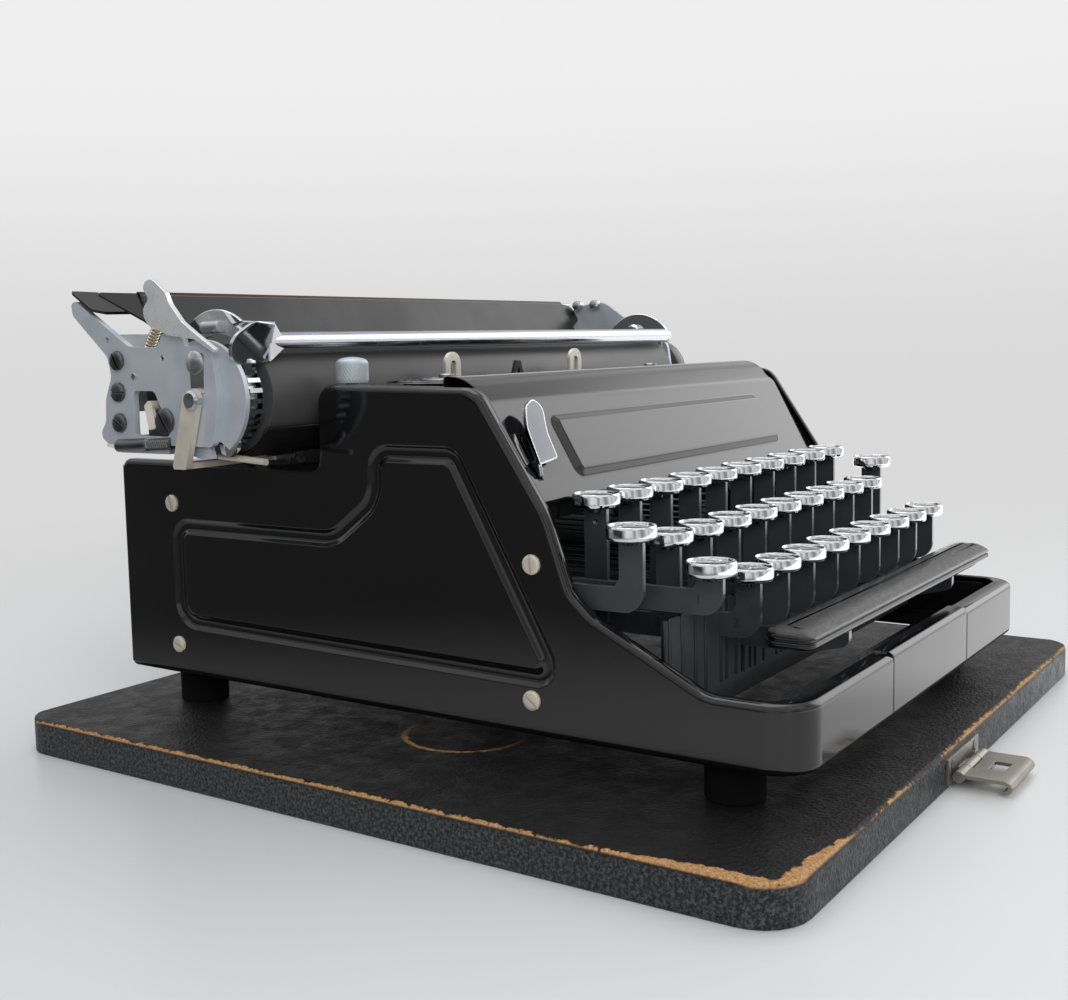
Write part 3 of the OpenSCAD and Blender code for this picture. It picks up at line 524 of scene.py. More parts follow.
FINISHES: dict[str, Finish] = {f.name: f for f in (
    Finish("black_enamel", (0.0035, 0.0035, 0.004), rough=0.1, rough_spread=0.035, specular=0.62, bump=0.18,
           bump_depth=0.00012, grain=60.0, vary=0.3, dust=0.02, wear=0.3, wear_reach=0.0003,
           wear_colour=(0.2, 0.2, 0.2)),
    Finish("satin_enamel", (0.006, 0.006, 0.0065), rough=0.3, specular=0.35, rough_spread=0.06, bump=0.15,
           grain=700.0, vary=0.25, dust=0.04, wear=0.4, wear_reach=0.0003, wear_colour=(0.3, 0.28, 0.24)),
    Finish("zinc_plate", (0.46, 0.50, 0.545), metallic=0.45, rough=0.42, rough_spread=0.1, grain=1800.0,
           bump=0.22, vary=0.09, dust=0.04, wear=0.4, wear_colour=(0.8, 0.82, 0.84)),
    Finish("pale_nickel", (0.76, 0.78, 0.80), metallic=0.6, rough=0.26, rough_spread=0.06, grain=2200.0,
           bump=0.12, vary=0.06, wear=0.5, wear_reach=0.0005, wear_colour=(0.92, 0.92, 0.93)),
    Finish("leaf_chrome", (0.13, 0.135, 0.145), metallic=1.0, rough=0.12, rough_spread=0.04, bump=0.05,
           vary=0.2, wear=1.0, wear_reach=0.001, wear_colour=(0.88, 0.89, 0.9)),
    Finish("satin_nickel", (0.5, 0.52, 0.54), metallic=1.0, rough=0.32, rough_spread=0.08, grain=2600.0,
           stretch=(1.0, 0.25, 1.0), bump=0.25, vary=0.1, dust=0.06, wear=0.3,
           wear_colour=(0.75, 0.76, 0.78)),
    Finish("bright_chrome", (0.74, 0.75, 0.77), metallic=1.0, rough=0.07, rough_spread=0.03, bump=0.05,
           vary=0.04),
    Finish("brushed_chrome", (0.60, 0.62, 0.65), metallic=1.0, rough=0.22, rough_spread=0.06, bump=0.1,
           vary=0.06, grain=2200.0, stretch=(1.0, 0.2, 1.0)),
    Finish("warm_nickel", (0.67, 0.62, 0.53), metallic=0.5, rough=0.42, rough_spread=0.1, bump=0.3, vary=0.2,
           grain=2200.0, dust=0.08, wear=0.4, wear_colour=(0.72, 0.68, 0.6)),
    Finish("aged_nickel", (0.24, 0.225, 0.195), metallic=0.8, rough=0.36, rough_spread=0.12, bump=0.35,
           vary=0.3, grain=1500.0, dust=0.05, wear=0.7, wear_reach=0.0005, wear_colour=(0.55, 0.5, 0.42)),
    GuideMetal("guide_metal", (0.6, 0.57, 0.5), metallic=0.5, rough=0.36, bump=0.2, vary=0.15, grain=2200.0,
               dust=0.05, wear=0.4, wear_colour=(0.75, 0.72, 0.66)),
    Finish("dark_screw", (0.16, 0.16, 0.165), metallic=1.0, rough=0.34, rough_spread=0.1, bump=0.3, vary=0.25,
           grain=2400.0, wear=0.7, wear_reach=0.0004, wear_colour=(0.6, 0.6, 0.6)),
    Finish("blackened_steel", (0.05, 0.052, 0.056), metallic=0.3, rough=0.4, rough_spread=0.08, bump=0.3,
           vary=0.25, grain=1900.0, dust=0.05, wear=0.5, wear_reach=0.0003, wear_colour=(0.36, 0.37, 0.39)),
    # Paler metal: the space bar's arms, and a painted reflection of the bright room on the key levers' front
    # edges
    Finish("lever_edge", (0.3, 0.31, 0.33), metallic=1.0, rough=0.38, bump=0.3, vary=0.3, grain=1600.0),
    Finish("platen_rubber", (0.042, 0.042, 0.043), rough=0.4, rough_spread=0.07, bump=0.25, grain=900.0,
           stretch=(0.2, 1.0, 1.0), vary=0.25, dust=0.03),
    # Black rubber made darker still, as painted shade in the gap under the body
    Finish("foot_rubber", (0.003, 0.003, 0.003), rough=0.9, specular=0.15, bump=0.4, bump_depth=0.0001),
    RibbedBar("bar_plastic", (0.0035, 0.0035, 0.004), rough=0.14, rough_spread=0.06, dust=0.03, vary=0.3),
    Finish("knob_plastic", (0.006, 0.006, 0.0065), rough=0.16, rough_spread=0.06, bump=0.1, dust=0.06,
           vary=0.25),
    Finish("spring_brass", (0.66, 0.58, 0.42), metallic=1.0, rough=0.25, bump=0.1),
    Finish("ivory_bead", (0.62, 0.58, 0.5), rough=0.35, bump=0.1, vary=0.1, wear=0.2,
           wear_colour=(0.5, 0.45, 0.4)),
    # Grey of a pale key top, with painted shade from the ring and glass over it
    Finish("key_disc", (0.30, 0.305, 0.29), rough=0.45, vary=0.12, grain=300.0, bump=0.05),
    Finish("legend_ink", (0.01, 0.01, 0.01), rough=0.5, vary=0.05),
    Finish("gilt_line", (0.12, 0.07, 0.035), metallic=0.2, rough=0.4, vary=0.3, grain=600.0),
    Finish("spool_steel", (0.3, 0.3, 0.31), metallic=1.0, rough=0.26, bump=0.2, vary=0.15, grain=1400.0,
           dust=0.08),
    BoardCloth("board_cloth", (0.0085, 0.0082, 0.008), rough=0.5, specular=0.16, vary=0.35, grain=500.0,
               dust=0.03),
    KeyGlass("key_glass", (0.93, 0.95, 0.94), rough=0.03, rough_spread=0.01, bump=0.02, vary=0.0),
)}


class Paints:
    """Builds each finish once and hands it out by name."""

    def __init__(self) -> None:
        """Makes the shared shader groups and every material."""
        for group in (edge_wear_group, grain_group, dust_group):
            group()
        self.made = {name: finish.build() for name, finish in FINISHES.items()}

    def __getitem__(self, name: str) -> bpy.types.Material:
        """The material of that finish."""
        return self.made[name]


# ---------------------------------------------------------------- mesh making


def rounded(points: list[Point], step: float = 12.0) -> list[Flat]:
    """Closed outline with rounded corners.

    Args:
        points: Corners as (x, y, radius); a corner of radius 0 stays a plain point.
        step: Largest angle between arc points, in degrees.

    Returns:
        The outline's points.
    """
    out: list[Flat] = []
    n = len(points)
    for i, (x, y, r) in enumerate(points):
        q = Vector((x, y))
        a = (Vector(points[i - 1][:2]) - q).normalized()
        b = (Vector(points[(i + 1) % n][:2]) - q).normalized()
        if r <= 0 or (a + b).length < 0.01:
            out.append((x, y))
            continue
        half = a.angle(b) / 2
        mid = (a + b).normalized()
        centre = q + mid * r / math.sin(half)
        lead = math.pi / 2 - half
        side = Vector((mid.y, -mid.x))
        k = 1.0 if a.dot(side) > 0 else -1.0
        count = max(2, math.ceil(math.degrees(lead) * 2 / step))
        for j in range(count + 1):
            f = lead * (1 - 2 * j / count)
            spot = centre + r * (math.cos(f) * -mid + k * math.sin(f) * side)
            out.append((spot.x, spot.y))
    return out


def inward(loop: list[Flat]) -> list[Vector]:
    """Mitred directions to the left of each point of a closed loop, of unit distance to its edges.

    Args:
        loop: Points of the loop.

    Returns:
        A direction for each point.
    """
    out = []
    for i, point in enumerate(loop):
        ends = ((loop[i - 1], point), (point, loop[(i + 1) % len(loop)]))
        runs = [(Vector(b) - Vector(a)).normalized() for a, b in ends]
        one, two = (Vector((-run.y, run.x)) for run in runs)
        out.append((one + two) / max(1.0 + one.dot(two), 0.2))
    return out


def inside(point: Vector, loop: list[Vector]) -> bool:
    """Tells whether a point lies inside a closed loop, by counting the crossings to its right.

    Args:
        point: The point.
        loop: Points of the loop.

    Returns:
        True if it does.
    """
    crossed = False
    for a, b in zip(loop, loop[1:] + loop[:1]):
        if (a.y > point.y) != (b.y > point.y) and point.x < a.x + (point.y - a.y) * (b.x - a.x) / (b.y - a.y):
            crossed = not crossed
    return crossed


def circle(centre: Flat, r: float, n: int = 24, start: float = 0.0, end: float = 360.0) -> list[Flat]:
    """Points of a circle or arc.

    Args:
        centre: Its middle.
        r: Its radius.
        n: Steps round it.
        start: Angle of its first point, in degrees.
        end: Angle of its end, in degrees.

    Returns:
        The points; a whole circle leaves out the repeated end.
    """
    last = n if abs(end - start) >= 360.0 else n + 1
    turns = [math.radians(start + (end - start) * i / n) for i in range(last)]
    return [(centre[0] + r * math.cos(a), centre[1] + r * math.sin(a)) for a in turns]


class Bench:
    """A bmesh in the body's frame, in millimetres, that forms are added to."""

    def __init__(self, mirrored: bool = False) -> None:
        """Starts empty; a mirrored bench turns left into right."""
        self.bm = bmesh.new()
        self.side = -1.0 if mirrored else 1.0

    def vert(self, p: Point | Vector) -> Vert:
        """Adds a point."""
        return self.bm.verts.new(at(self.side * p[0], p[1], p[2]))

    def face(self, verts: list[Vert], material: int = 0) -> None:
        """Adds a face unless it is there or has no area.

        Args:
            verts: Its points in order.
            material: Material slot of the face.
        """
        try:
            self.bm.faces.new(verts).material_index = material
        except ValueError:
            log.debug("face left out")

    def skin(self, rows: list[list[Vert]], material: int = 0, closed: bool = True) -> None:
        """Makes quads between rows of as many points each.

        Args:
            rows: The rows.
            material: Its material slot.
            closed: Whether each row is closed.
        """
        n = len(rows[0])
        for low, high in zip(rows, rows[1:]):
            for i in range(n if closed else n - 1):
                j = (i + 1) % n
                self.face([low[i], low[j], high[j], high[i]], material)

    def loft(self, rings: list[list[Point]], material: int = 0, closed: bool = True,
             caps: bool = True) -> None:
        """Skins rings of points.

        Args:
            rings: The rings, in body millimetres.
            material: Its material slot.
            closed: Whether each ring is closed.
            caps: Whether the first and last rings are filled.
        """
        rows = [[self.vert(p) for p in ring] for ring in rings]
        self.skin(rows, material, closed)
        if caps:
            self.face(list(reversed(rows[0])), material)
            self.face(rows[-1], material)

    def fill(self, loops: list[list[Vert]], material: int = 0) -> None:
        """Fills an area in a side view plane.

        Args:
            loops: The loop of points round the area, then the loops round its holes.
            material: Its material slot.
        """
        verts = [v for loop in loops for v in loop]
        index = {v: i for i, v in enumerate(verts)}
        edges = [(index[a], index[b]) for loop in loops for a, b in zip(loop, loop[1:] + loop[:1])]
        spots = [Vector((v.co.y, v.co.z)) / MM for v in verts]
        holes = [[spots[index[v]] for v in loop] for loop in loops[1:]]
        found, _, faces, origin, _, _ = delaunay_2d_cdt(spots, edges, [], 1, 1e-5)
        for face in faces:
            middle = sum((found[i] for i in face), Vector((0.0, 0.0))) / len(face)
            if all(origin[i] for i in face) and not any(inside(middle, hole) for hole in holes):
                self.face([verts[origin[i][0]] for i in face], material)

    def side_plate(self, x: float, t: float, outline: list[Flat], material: int = 0,
                   holes: list[list[Flat]] | None = None) -> None:
        """A plate in a side view plane.

        Args:
            x: Its left face.
            t: Its thickness.
            outline: Its outline as (y, z).
            material: Its material slot.
            holes: Outlines of holes through it.
        """
        if not holes:
            self.loft([[(s, y, z) for y, z in outline] for s in (x, x + t)], material)
            return
        loops = [outline, *holes]
        faces = [[[self.vert((s, y, z)) for y, z in loop] for loop in loops] for s in (x, x + t)]
        for near, far in zip(*faces):
            self.skin([near, far], material)
        for loops_there in faces:
            self.fill(loops_there, material)

    def bar_x(self, x0: float, x1: float, centre: Flat, r: float, n: int = 24, material: int = 0) -> None:
        """A round bar along X through centre (y, z)."""
        self.turned((x0, *centre), ACROSS, [(r, 0), (r, x1 - x0)], n, material)

    def turned(self, centre: Point, axis: Vector, profile: list[Flat], n: int = 32,
               material: int = 0) -> None:
        """A turned form.

        Args:
            centre: Point on its axis, in body millimetres.
            axis: Its axis.
            profile: Points as (radius, distance along the axis), not closed.
            n: Points round.
            material: Its material slot.
        """
        axis = axis.normalized()
        u = axis.orthogonal().normalized()
        v = axis.cross(u)
        base = Vector(centre)
        ring = circle((0.0, 0.0), 1.0, n)
        self.loft([[base + axis * d + max(r, 0.001) * (c * u + s * v) for c, s in ring] for r, d in profile],
                  material)

    def tube(self, path: list[Vector], r: float, n: int = 10, material: int = 0) -> None:
        """A tube along a path.

        Args:
            path: Points of its middle line, in body millimetres.
            r: Its radius.
            n: Points round.
            material: Its material slot.
        """
        rings = []
        for i, p in enumerate(path):
            run = (path[min(i + 1, len(path) - 1)] - path[max(i - 1, 0)]).normalized()
            u = run.cross(Vector((0.13, 0.21, 1.0))).normalized()
            v = run.cross(u)
            rings.append([p + r * (c * u + s * v) for c, s in circle((0.0, 0.0), 1.0, n)])
        self.loft(rings, material)

    def block(self, low: Point, high: Point, material: int = 0) -> None:
        """A box between two corners."""
        (x0, y0, z0), (x1, y1, z1) = low, high
        self.loft([[(x0, y0, z), (x1, y0, z), (x1, y1, z), (x0, y1, z)] for z in (z0, z1)], material)

    def screw(self, centre: Point, axis: Vector, r: float, h: float, slot: float, material: int = 0) -> None:
        """A slotted screw head with a domed top.

        Args:
            centre: Middle of its seat, in body millimetres.
            axis: Direction that it faces.
            r: Radius of the head.
            h: Height of the head.
            slot: Angle of the slot, in degrees.
            material: Its material slot.
        """
        # Share of the radius and of the height, from the seat to the crown
        dome = ((1.0, 0.2), (1.0, 0.45), (0.95, 0.72), (0.82, 0.88), (0.62, 0.96), (0.35, 1.0))
        steps = 14
        axis = axis.normalized()
        u = Vector((0, math.cos(math.radians(slot)), math.sin(math.radians(slot))))
        v = axis.cross(u)
        base, half_slot = Vector(centre), r * 0.13
        self.turned(centre, axis, [(r, -0.2), (r, h * 0.35), (r * 0.3, h * 0.36)], 32, material)
        for sign in (-1.0, 1.0):
            rings = []
            for share, height in dome:
                rho = r * share
                lead = math.asin(min(half_slot / rho, 1.0))
                angles = [lead + (math.pi - 2 * lead) * k / steps for k in range(steps + 1)]
                rings.append([base + axis * h * height + rho * math.cos(a) * u + sign * rho * math.sin(a) * v
                              for a in angles])
            self.loft(rings, material)

    def aim(self, direction: Point) -> None:
        """Turns all faces over if most of their area faces away from a direction.

        Args:
            direction: Where they should face, on the left side of the machine.
        """
        bmesh.ops.recalc_face_normals(self.bm, faces=self.bm.faces)
        total = sum((f.normal * f.calc_area() for f in self.bm.faces), Vector())
        if total.dot(Vector((self.side * direction[0], direction[1], direction[2]))) < 0:
            bmesh.ops.reverse_faces(self.bm, faces=self.bm.faces)

    def mesh(self, name: str, smooth: float = 32.0, aimed: bool = False) -> bpy.types.Mesh:
        """Finishes the forms as a mesh.

        Args:
            name: Name of the mesh.
            smooth: Angle above which an edge stays sharp, in degrees.
            aimed: Whether the faces' sides are right already.

        Returns:
            The mesh.
        """
        if not aimed:
            bmesh.ops.recalc_face_normals(self.bm, faces=self.bm.faces)
        made = bpy.data.meshes.new(name)
        self.bm.to_mesh(made)
        self.bm.free()
        for face in made.polygons:
            face.use_smooth = True
        made.set_sharp_from_angle(angle=math.radians(smooth))
        return made


@dataclass
class Shop:
    """Places meshes on their bodies and softens their edges."""

    paints: Paints
    made: int = 0

    def piece(self, name: str, mesh: bpy.types.Mesh, body: str, finishes: list[str], slot: str,
              instead_of: tuple[str, ...] = ()) -> bpy.types.Object:
        """Adds a piece to the scene.

        Args:
            name: Name of the piece.
            mesh: Its mesh, in the row frame.
            body: Body that it rides on.
            finishes: Finish names, one for each material slot.
            slot: The record's material slot; not used.
            instead_of: Nodes that it stands for.

        Returns:
            The piece.
        """
        made = bpy.data.objects.new(name, mesh)
        bpy.context.scene.collection.objects.link(made)
        for finish in finishes:
            mesh.materials.append(self.paints[finish])
        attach(made, body)
        if instead_of:
            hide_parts(*instead_of)
        self.made += 1
        log.info("%s made", name)
        return made

    @staticmethod
    def thicken(piece: bpy.types.Object, thickness: float) -> None:
        """Gives a sheet piece its thickness, behind its faces.

        Args:
            piece: The sheet.
            thickness: Its thickness in millimetres.
        """
        made = piece.modifiers.new("sheet", "SOLIDIFY")
        made.thickness = thickness * MM
        made.offset = -1.0
        made.use_even_offset = False
        made.thickness_clamp = 1.5

    @staticmethod
    def soften(piece: bpy.types.Object, width: float, angle: float = 30.0, weld: bool = False) -> None:
        """Rounds a piece's sharp edges and evens its shading.

        Args:
            piece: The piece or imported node.
            width: Width of the rounding in millimetres, or 0 for shading only.
            angle: Edges turned by less than this, in degrees, stay.
            weld: Whether its points are joined first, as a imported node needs.
        """
        if weld:
            piece.modifiers.new("weld", "WELD").merge_threshold = 0.000001
            flat = piece.modifiers.new("flat", "DECIMATE")
            flat.decimate_type = "DISSOLVE"
            flat.angle_limit = math.radians(0.6)
        if width > 0:
            edge = piece.modifiers.new("edge", "BEVEL")
            edge.width = width * MM
            edge.segments = 2
            edge.limit_method = "ANGLE"
            edge.angle_limit = math.radians(angle)
            edge.use_clamp_overlap = True
        piece.modifiers.new("even", "WEIGHTED_NORMAL").keep_sharp = True


# ---------------------------------------------------------------- body and board


class Side(Enum):
    """The two sides of the machine, as the typist sees them."""

    LEFT = -1
    RIGHT = 1


@dataclass
class Board:
    """The case's base board with its feet and the catch on its front edge."""

    shop: Shop
    # Node, finish and width of its edge's rounding
    looks: tuple[tuple[str, str, float], ...] = (
        ("base_board", "board_cloth", 0.7), ("rubber_feet", "foot_rubber", 0.4),
        ("catch_plate", "aged_nickel", 0.15), ("catch_hasp", "aged_nickel", 0.2))
    catch_screws: tuple[Point, ...] = ((-21.0, -12.3, -15.4), (1.0, -12.3, -15.4))
    catch_screw_r: float = 1.5
    catch_screw_h: float = 0.7

    def build(self) -> None:
        """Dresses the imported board, feet and catch, and adds the catch's screws."""
        for node, finish, width in self.looks:
            PlainNodes.wear(self.shop, node, finish, width)
        bench = Bench()
        for spot in self.catch_screws:
            bench.screw(spot, Vector((0, -1, 0)), self.catch_screw_r, self.catch_screw_h, 0.0)
        self.shop.piece("catch_screws", bench.mesh("catch_screws"), "machine", ["dark_screw"], "warm_nickel")


@dataclass
class PressedPanels:
    """Pressed side panels, front plate and their screws."""

    shop: Shop
    corner_r: float = 12.0
    seam_x: float = 35.9
    band_h: float = 18.3
    roll: float = 2.1
    rear_roll: float = 1.4
    sheet: float = 1.3
    lip: float = 6.0
    # Reach of the turned-in flange before and behind the knee
    flange: Flat = (3.45, 4.0)
    flange_knee: float = 77.5
    outline: tuple[Point, ...] = (
        (244.0, 0.0, 2.0), (244.0, 71.5, 3.0), (154.2, 71.5, 3.0), (154.2, 96.5, 6.0), (95.3, 95.5, 9.0),
        (72.5, 61.0, 30.0), (65.5, 40.8, 8.0), (59.0, 35.0, 8.0), (26.0, 18.3, 12.0))
    groove: tuple[Point, ...] = (
        (217.5, 18.4, 7.0), (217.5, 50.0, 5.0), (149.0, 50.0, 13.0), (132.0, 62.5, 12.0), (132.0, 76.5, 5.0),
        (103.5, 76.5, 5.0), (73.2, 22.5, 5.0), (72.5, 16.4, 4.0))
    # Distance across the groove and depth
    groove_profile: tuple[Flat, ...] = (
        (-2.9, 0.0), (-2.5, 0.12), (-2.0, 0.5), (-1.3, 0.95), (-0.5, 1.15), (0.5, 1.15), (1.3, 0.95),
        (2.0, 0.5), (2.5, 0.12), (2.9, 0.0))
    # Place and slot angle
    screws: tuple[Point, ...] = (
        (219.3, 57.5, 70.0), (218.8, 10.2, 20.0), (77.4, 47.8, 85.0), (78.1, 10.2, 40.0))
    screw_r: float = 2.8
    screw_h: float = 1.1
    shank_r: float = 1.4
    shank_h: float = 4.0
    # Inset from the seam and depth of the middle plate's rounded ends
    plate_end: tuple[Flat, ...] = ((0.0, 2.0), (0.0, 0.6), (0.15, 0.2), (0.5, 0.0))

    def build(self) -> None:
        """Makes both side panels, the front plate, the back panel's finish and the screws."""
        for side in Side:
            self._panel(side)
        self._front_plate()
        self._screws()
        PlainNodes.wear(self.shop, "rear_panel", "black_enamel", 0.4)

    def place(self, s: float, z: float, d: float) -> Point:
        """A point of the left panel, developed round the front corner.

        Args:
            s: Distance from the front along the side face, and below the corner's radius on round the corner.
            z: Height.
            d: Depth under the outer face.

        Returns:
            The point in the body's frame.
        """
        r, side = self.corner_r, BODY_W / 2
        if s >= r:
            return (-side + d, s, z)
        turn = (r - s) / r
        if turn <= math.pi / 2:
            return (-side + r - (r - d) * math.cos(turn), r - (r - d) * math.sin(turn), z)
        return (-side + r + (turn - math.pi / 2) * r, d, z)

    def _panel(self, side: Side) -> None:
        """Makes one side panel with the outer part of the front band.

        Args:
            side: Which side it is on.
        """
        bench = Bench(side is Side.RIGHT)
        r, corner_steps, roll_steps = self.corner_r, 9, 6
        end = r - r * math.pi / 2 - (BODY_W / 2 - r - self.seam_x)
        columns = [r - r * math.pi / 2 * k / corner_steps for k in range(corner_steps + 1)]
        columns += [end + 0.7]
        low = [(end, 0.0, 0.0)] + [(s, 0.0, 0.0) for s in reversed(columns)]
        high = [(s, self.band_h, 0.0) for s in columns] + [(end, self.band_h, 0.0)]
        edge = rounded([*low, *self.outline, *high], 7.0)
        aim = inward(edge)
        rings = [self._ring(bench, edge, aim, end, k / roll_steps) for k in range(roll_steps + 1)]
        rings.append([bench.vert(self.place(s, z, self._flange(s))) for s, z in edge])
        bench.skin(rings)
        face = rings[0]
        count = len(columns) + 1
        low_row, high_row = face[:count], list(reversed(face[-count:]))
        for i in range(count - 1):
            bench.face([low_row[i], low_row[i + 1], high_row[i + 1], high_row[i]])
        path = rounded(list(self.groove), 9.0)
        into = inward(path)
        grooves = [[bench.vert(self.place(y + m.x * u, z + m.y * u, d)) for (y, z), m in zip(path, into)]
                   for u, d in self.groove_profile]
        bench.skin(grooves)
        bench.fill([face[count - 1:-count + 1], grooves[0]])
        bench.fill([grooves[-1]])
        bench.aim((-1.0, -0.2, 0.0))
        name = side.name.lower()
        self._sheet(bench, f"side_sheet_{name}", f"side_panel_{name}")

    def _sheet(self, bench: Bench, name: str, node: str) -> None:
        """Finishes a bench's faces as an enamelled sheet.

        Args:
            bench: The bench with the outer faces.
            name: Name of the piece.
            node: Node that it stands for.
        """
        piece = self.shop.piece(name, bench.mesh(name, 50.0, True), "machine", ["black_enamel"],
                                "black_enamel", (node,))
        Shop.thicken(piece, self.sheet)
        Shop.soften(piece, 0.0)

    def _ring(self, bench: Bench, edge: list[Flat], aim: list[Vector], end: float,
              share: float) -> list[Vert]:
        """Makes one ring of the rolled edge.

        Args:
            bench: The panel's bench.
            edge: Outline of the panel.
            aim: Direction into the panel at each of its points.
            end: Distance of the seam.
            share: How far round the roll it is, from the face at 0 to the flange at 1.

        Returns:
            The ring's points.
        """
        out = []
        turn = share * math.pi / 2
        rear = self.outline[0][0] - 0.1
        for (s, z), m in zip(edge, aim):
            r = self.rear_roll if s > rear else self.roll
            inset = r * (1 - math.sin(turn))
            # The roll is flatter along the seam
            along = m.x * inset * (0.2 if s < end + 0.01 else 1.0)
            out.append(bench.vert(self.place(s + along, z + m.y * inset, r * (1 - math.cos(turn)))))
        return out

    def _flange(self, s: float) -> float:
        """How far the turned-in flange reaches behind the face.

        Args:
            s: Distance from the front along the face.

        Returns:
            Its depth.
        """
        front, rear = self.flange
        if s < self.corner_r:
            return min(self.lip, front + (self.corner_r - s) * 0.25)
        return front if s < self.flange_knee else rear

    def _front_plate(self) -> None:
        """Makes the middle of the front band."""
        h, r, x = self.band_h + 0.8, self.roll, self.seam_x
        turns = [math.pi / 2 * k / 6 for k in range(7)]
        profile = [(self.lip, 0.0)] + [(r * (1 - math.sin(a)), r * (1 - math.cos(a))) for a in turns]
        profile += [(r * (1 - math.cos(a)), h - r * (1 - math.sin(a))) for a in turns] + [(self.lip, h)]
        bench = Bench()
        left = [(-x + inset, depth) for inset, depth in self.plate_end]
        right = [(x - inset, depth) for inset, depth in reversed(self.plate_end)]
        across = [*left, (-12.0, 0.0), (12.0, 0.0), *right]
        rows = [[(place, max(y, depth), z) for y, z in profile] for place, depth in across]
        bench.loft(rows, 0, False, False)
        bench.aim((0.0, -1.0, 0.0))
        self._sheet(bench, "front_band_plate", "front_plate")

    def _screws(self) -> None:
        """Makes the eight slotted screws."""
        bench = Bench()
        for y, z, slot in self.screws:
            for side in Side:
                out = Vector((side.value, 0, 0))
                bench.screw((side.value * (BODY_W / 2 - 0.1), y, z), out, self.screw_r, self.screw_h, slot)
                shank = [(self.shank_r, 0), (self.shank_r, self.shank_h)]
                bench.turned((side.value * (BODY_W / 2 - self.shank_h), y, z), out, shank, 20)
        self.shop.piece("panel_screw_heads", bench.mesh("panel_screw_heads"), "machine", ["warm_nickel"],
                        "warm_nickel", ("panel_screws",))


@dataclass
class Cover:
    """Ribbon cover with its raised panel, and the colour lever's slot."""

    shop: Shop
    half_w: float = 97.2
    sheet: float = 1.4
    profile: tuple[Point, ...] = (
        (77.2, 59.0, 0.0), (77.2, 64.2, 1.5), (93.0, 91.1, 8.0), (102.0, 98.5, 12.0), (109.0, 98.5, 1.2),
        (109.0, 90.5, 0.0))
    # Distance along the profile at which the slope starts
    foot: float = 5.2
    # Half width of the raised panel, and its ends up the slope
    raised_x: float = 72.0
    raised_t: Flat = (5.5, 25.0)
    raised_h: float = 1.4
    raised_corner: float = 3.2
    # Step of the rows and columns over the raised panel's edge, and the least distance between any two
    fine: float = 0.35
    least: float = 0.12
    # Left, right, low and high end of the colour lever's slot
    slot: tuple[float, float, float, float] = (-92.9, -90.1, 6.0, 21.0)

    def build(self) -> None:
        """Makes the cover's sheet."""
        path = rounded(list(self.profile), 8.0)
        runs = [0.0]
        for a, b in zip(path, path[1:]):
            runs.append(runs[-1] + math.dist(a, b))
        x0, x1, t0, t1 = self.slot
        marks = {round(r, 2) for r in runs} | {self.foot + t for t in (2.0, t0, t1)}
        marks |= {self.foot + t + self.fine * k for t in self.raised_t for k in range(-8, 9)}
        marks |= {self.foot + 8 + 2.2 * k for k in range(8)}
        rows_at = self._thin(sorted(m for m in marks if m <= runs[-1]))
        cols = {-self.half_w, self.half_w, x0, x1, -96.6, 96.6} | {12.0 * k for k in range(-5, 6)}
        cols |= {s * (self.raised_x + self.fine * k) for s in (-1, 1) for k in range(-8, 9)}
        cols_at = self._thin(sorted(cols))
        bench = Bench()
        grid = [[bench.vert(self._spot(path, runs, x, t)) for x in cols_at] for t in rows_at]
        for j in range(len(rows_at) - 1):
            for i in range(len(cols_at) - 1):
                mx, mt = (cols_at[i] + cols_at[i + 1]) / 2, (rows_at[j] + rows_at[j + 1]) / 2 - self.foot
                if not (x0 < mx < x1 and t0 < mt < t1):
                    bench.face([grid[j][i], grid[j][i + 1], grid[j + 1][i + 1], grid[j + 1][i]])
        bench.aim((0.0, -0.6, 0.6))
        cover = self.shop.piece("cover_sheet", bench.mesh("cover_sheet", 60.0, True), "machine",
                                ["black_enamel"], "black_enamel", ("top_cover",))
        Shop.thicken(cover, self.sheet)
        Shop.soften(cover, 0.0)

    def _thin(self, values: list[float]) -> list[float]:
        """Leaves out values too close to the one before.

        Args:
            values: The values, in rising order.

        Returns:
            What is left of them.
        """
        out: list[float] = []
        for value in values:
            if not out or value - out[-1] > self.least:
                out.append(value)
        return out

    def _spot(self, path: list[Flat], runs: list[float], x: float, t: float) -> Point:
        """A point of the cover's outer face.

        Args:
            path: The cover's profile.
            runs: Distance along the profile of each of its points.
            x: Place across.
            t: Distance along the profile.

        Returns:
            The point in the body's frame.
        """
        i = max(k for k in range(len(runs) - 1) if runs[k] <= t + 1e-6)
        a, b = Vector(path[i]), Vector(path[i + 1])
        run = (b - a).normalized()
        p = a + run * (t - runs[i])
        p += Vector((-run.y, run.x)) * self._raised(x, t - self.foot)
        return (x, p.x, p.y)

    def _raised(self, x: float, t: float) -> float:
        """Height of the raised panel, which has round corners and a rounded step.

        Args:
            x: Place across.
            t: Distance up the slope.

        Returns:
            The height over the plain sheet.
        """
        r = self.raised_corner
        low, high = self.raised_t
        dx = abs(x) - (self.raised_x - r)
        dt = abs(t - (low + high) / 2) - ((high - low) / 2 - r)
        gap = math.hypot(max(dx, 0.0), max(dt, 0.0)) + min(max(dx, dt), 0.0) - r
        return self.raised_h * smoothstep((1.0 - gap) / 3.4)


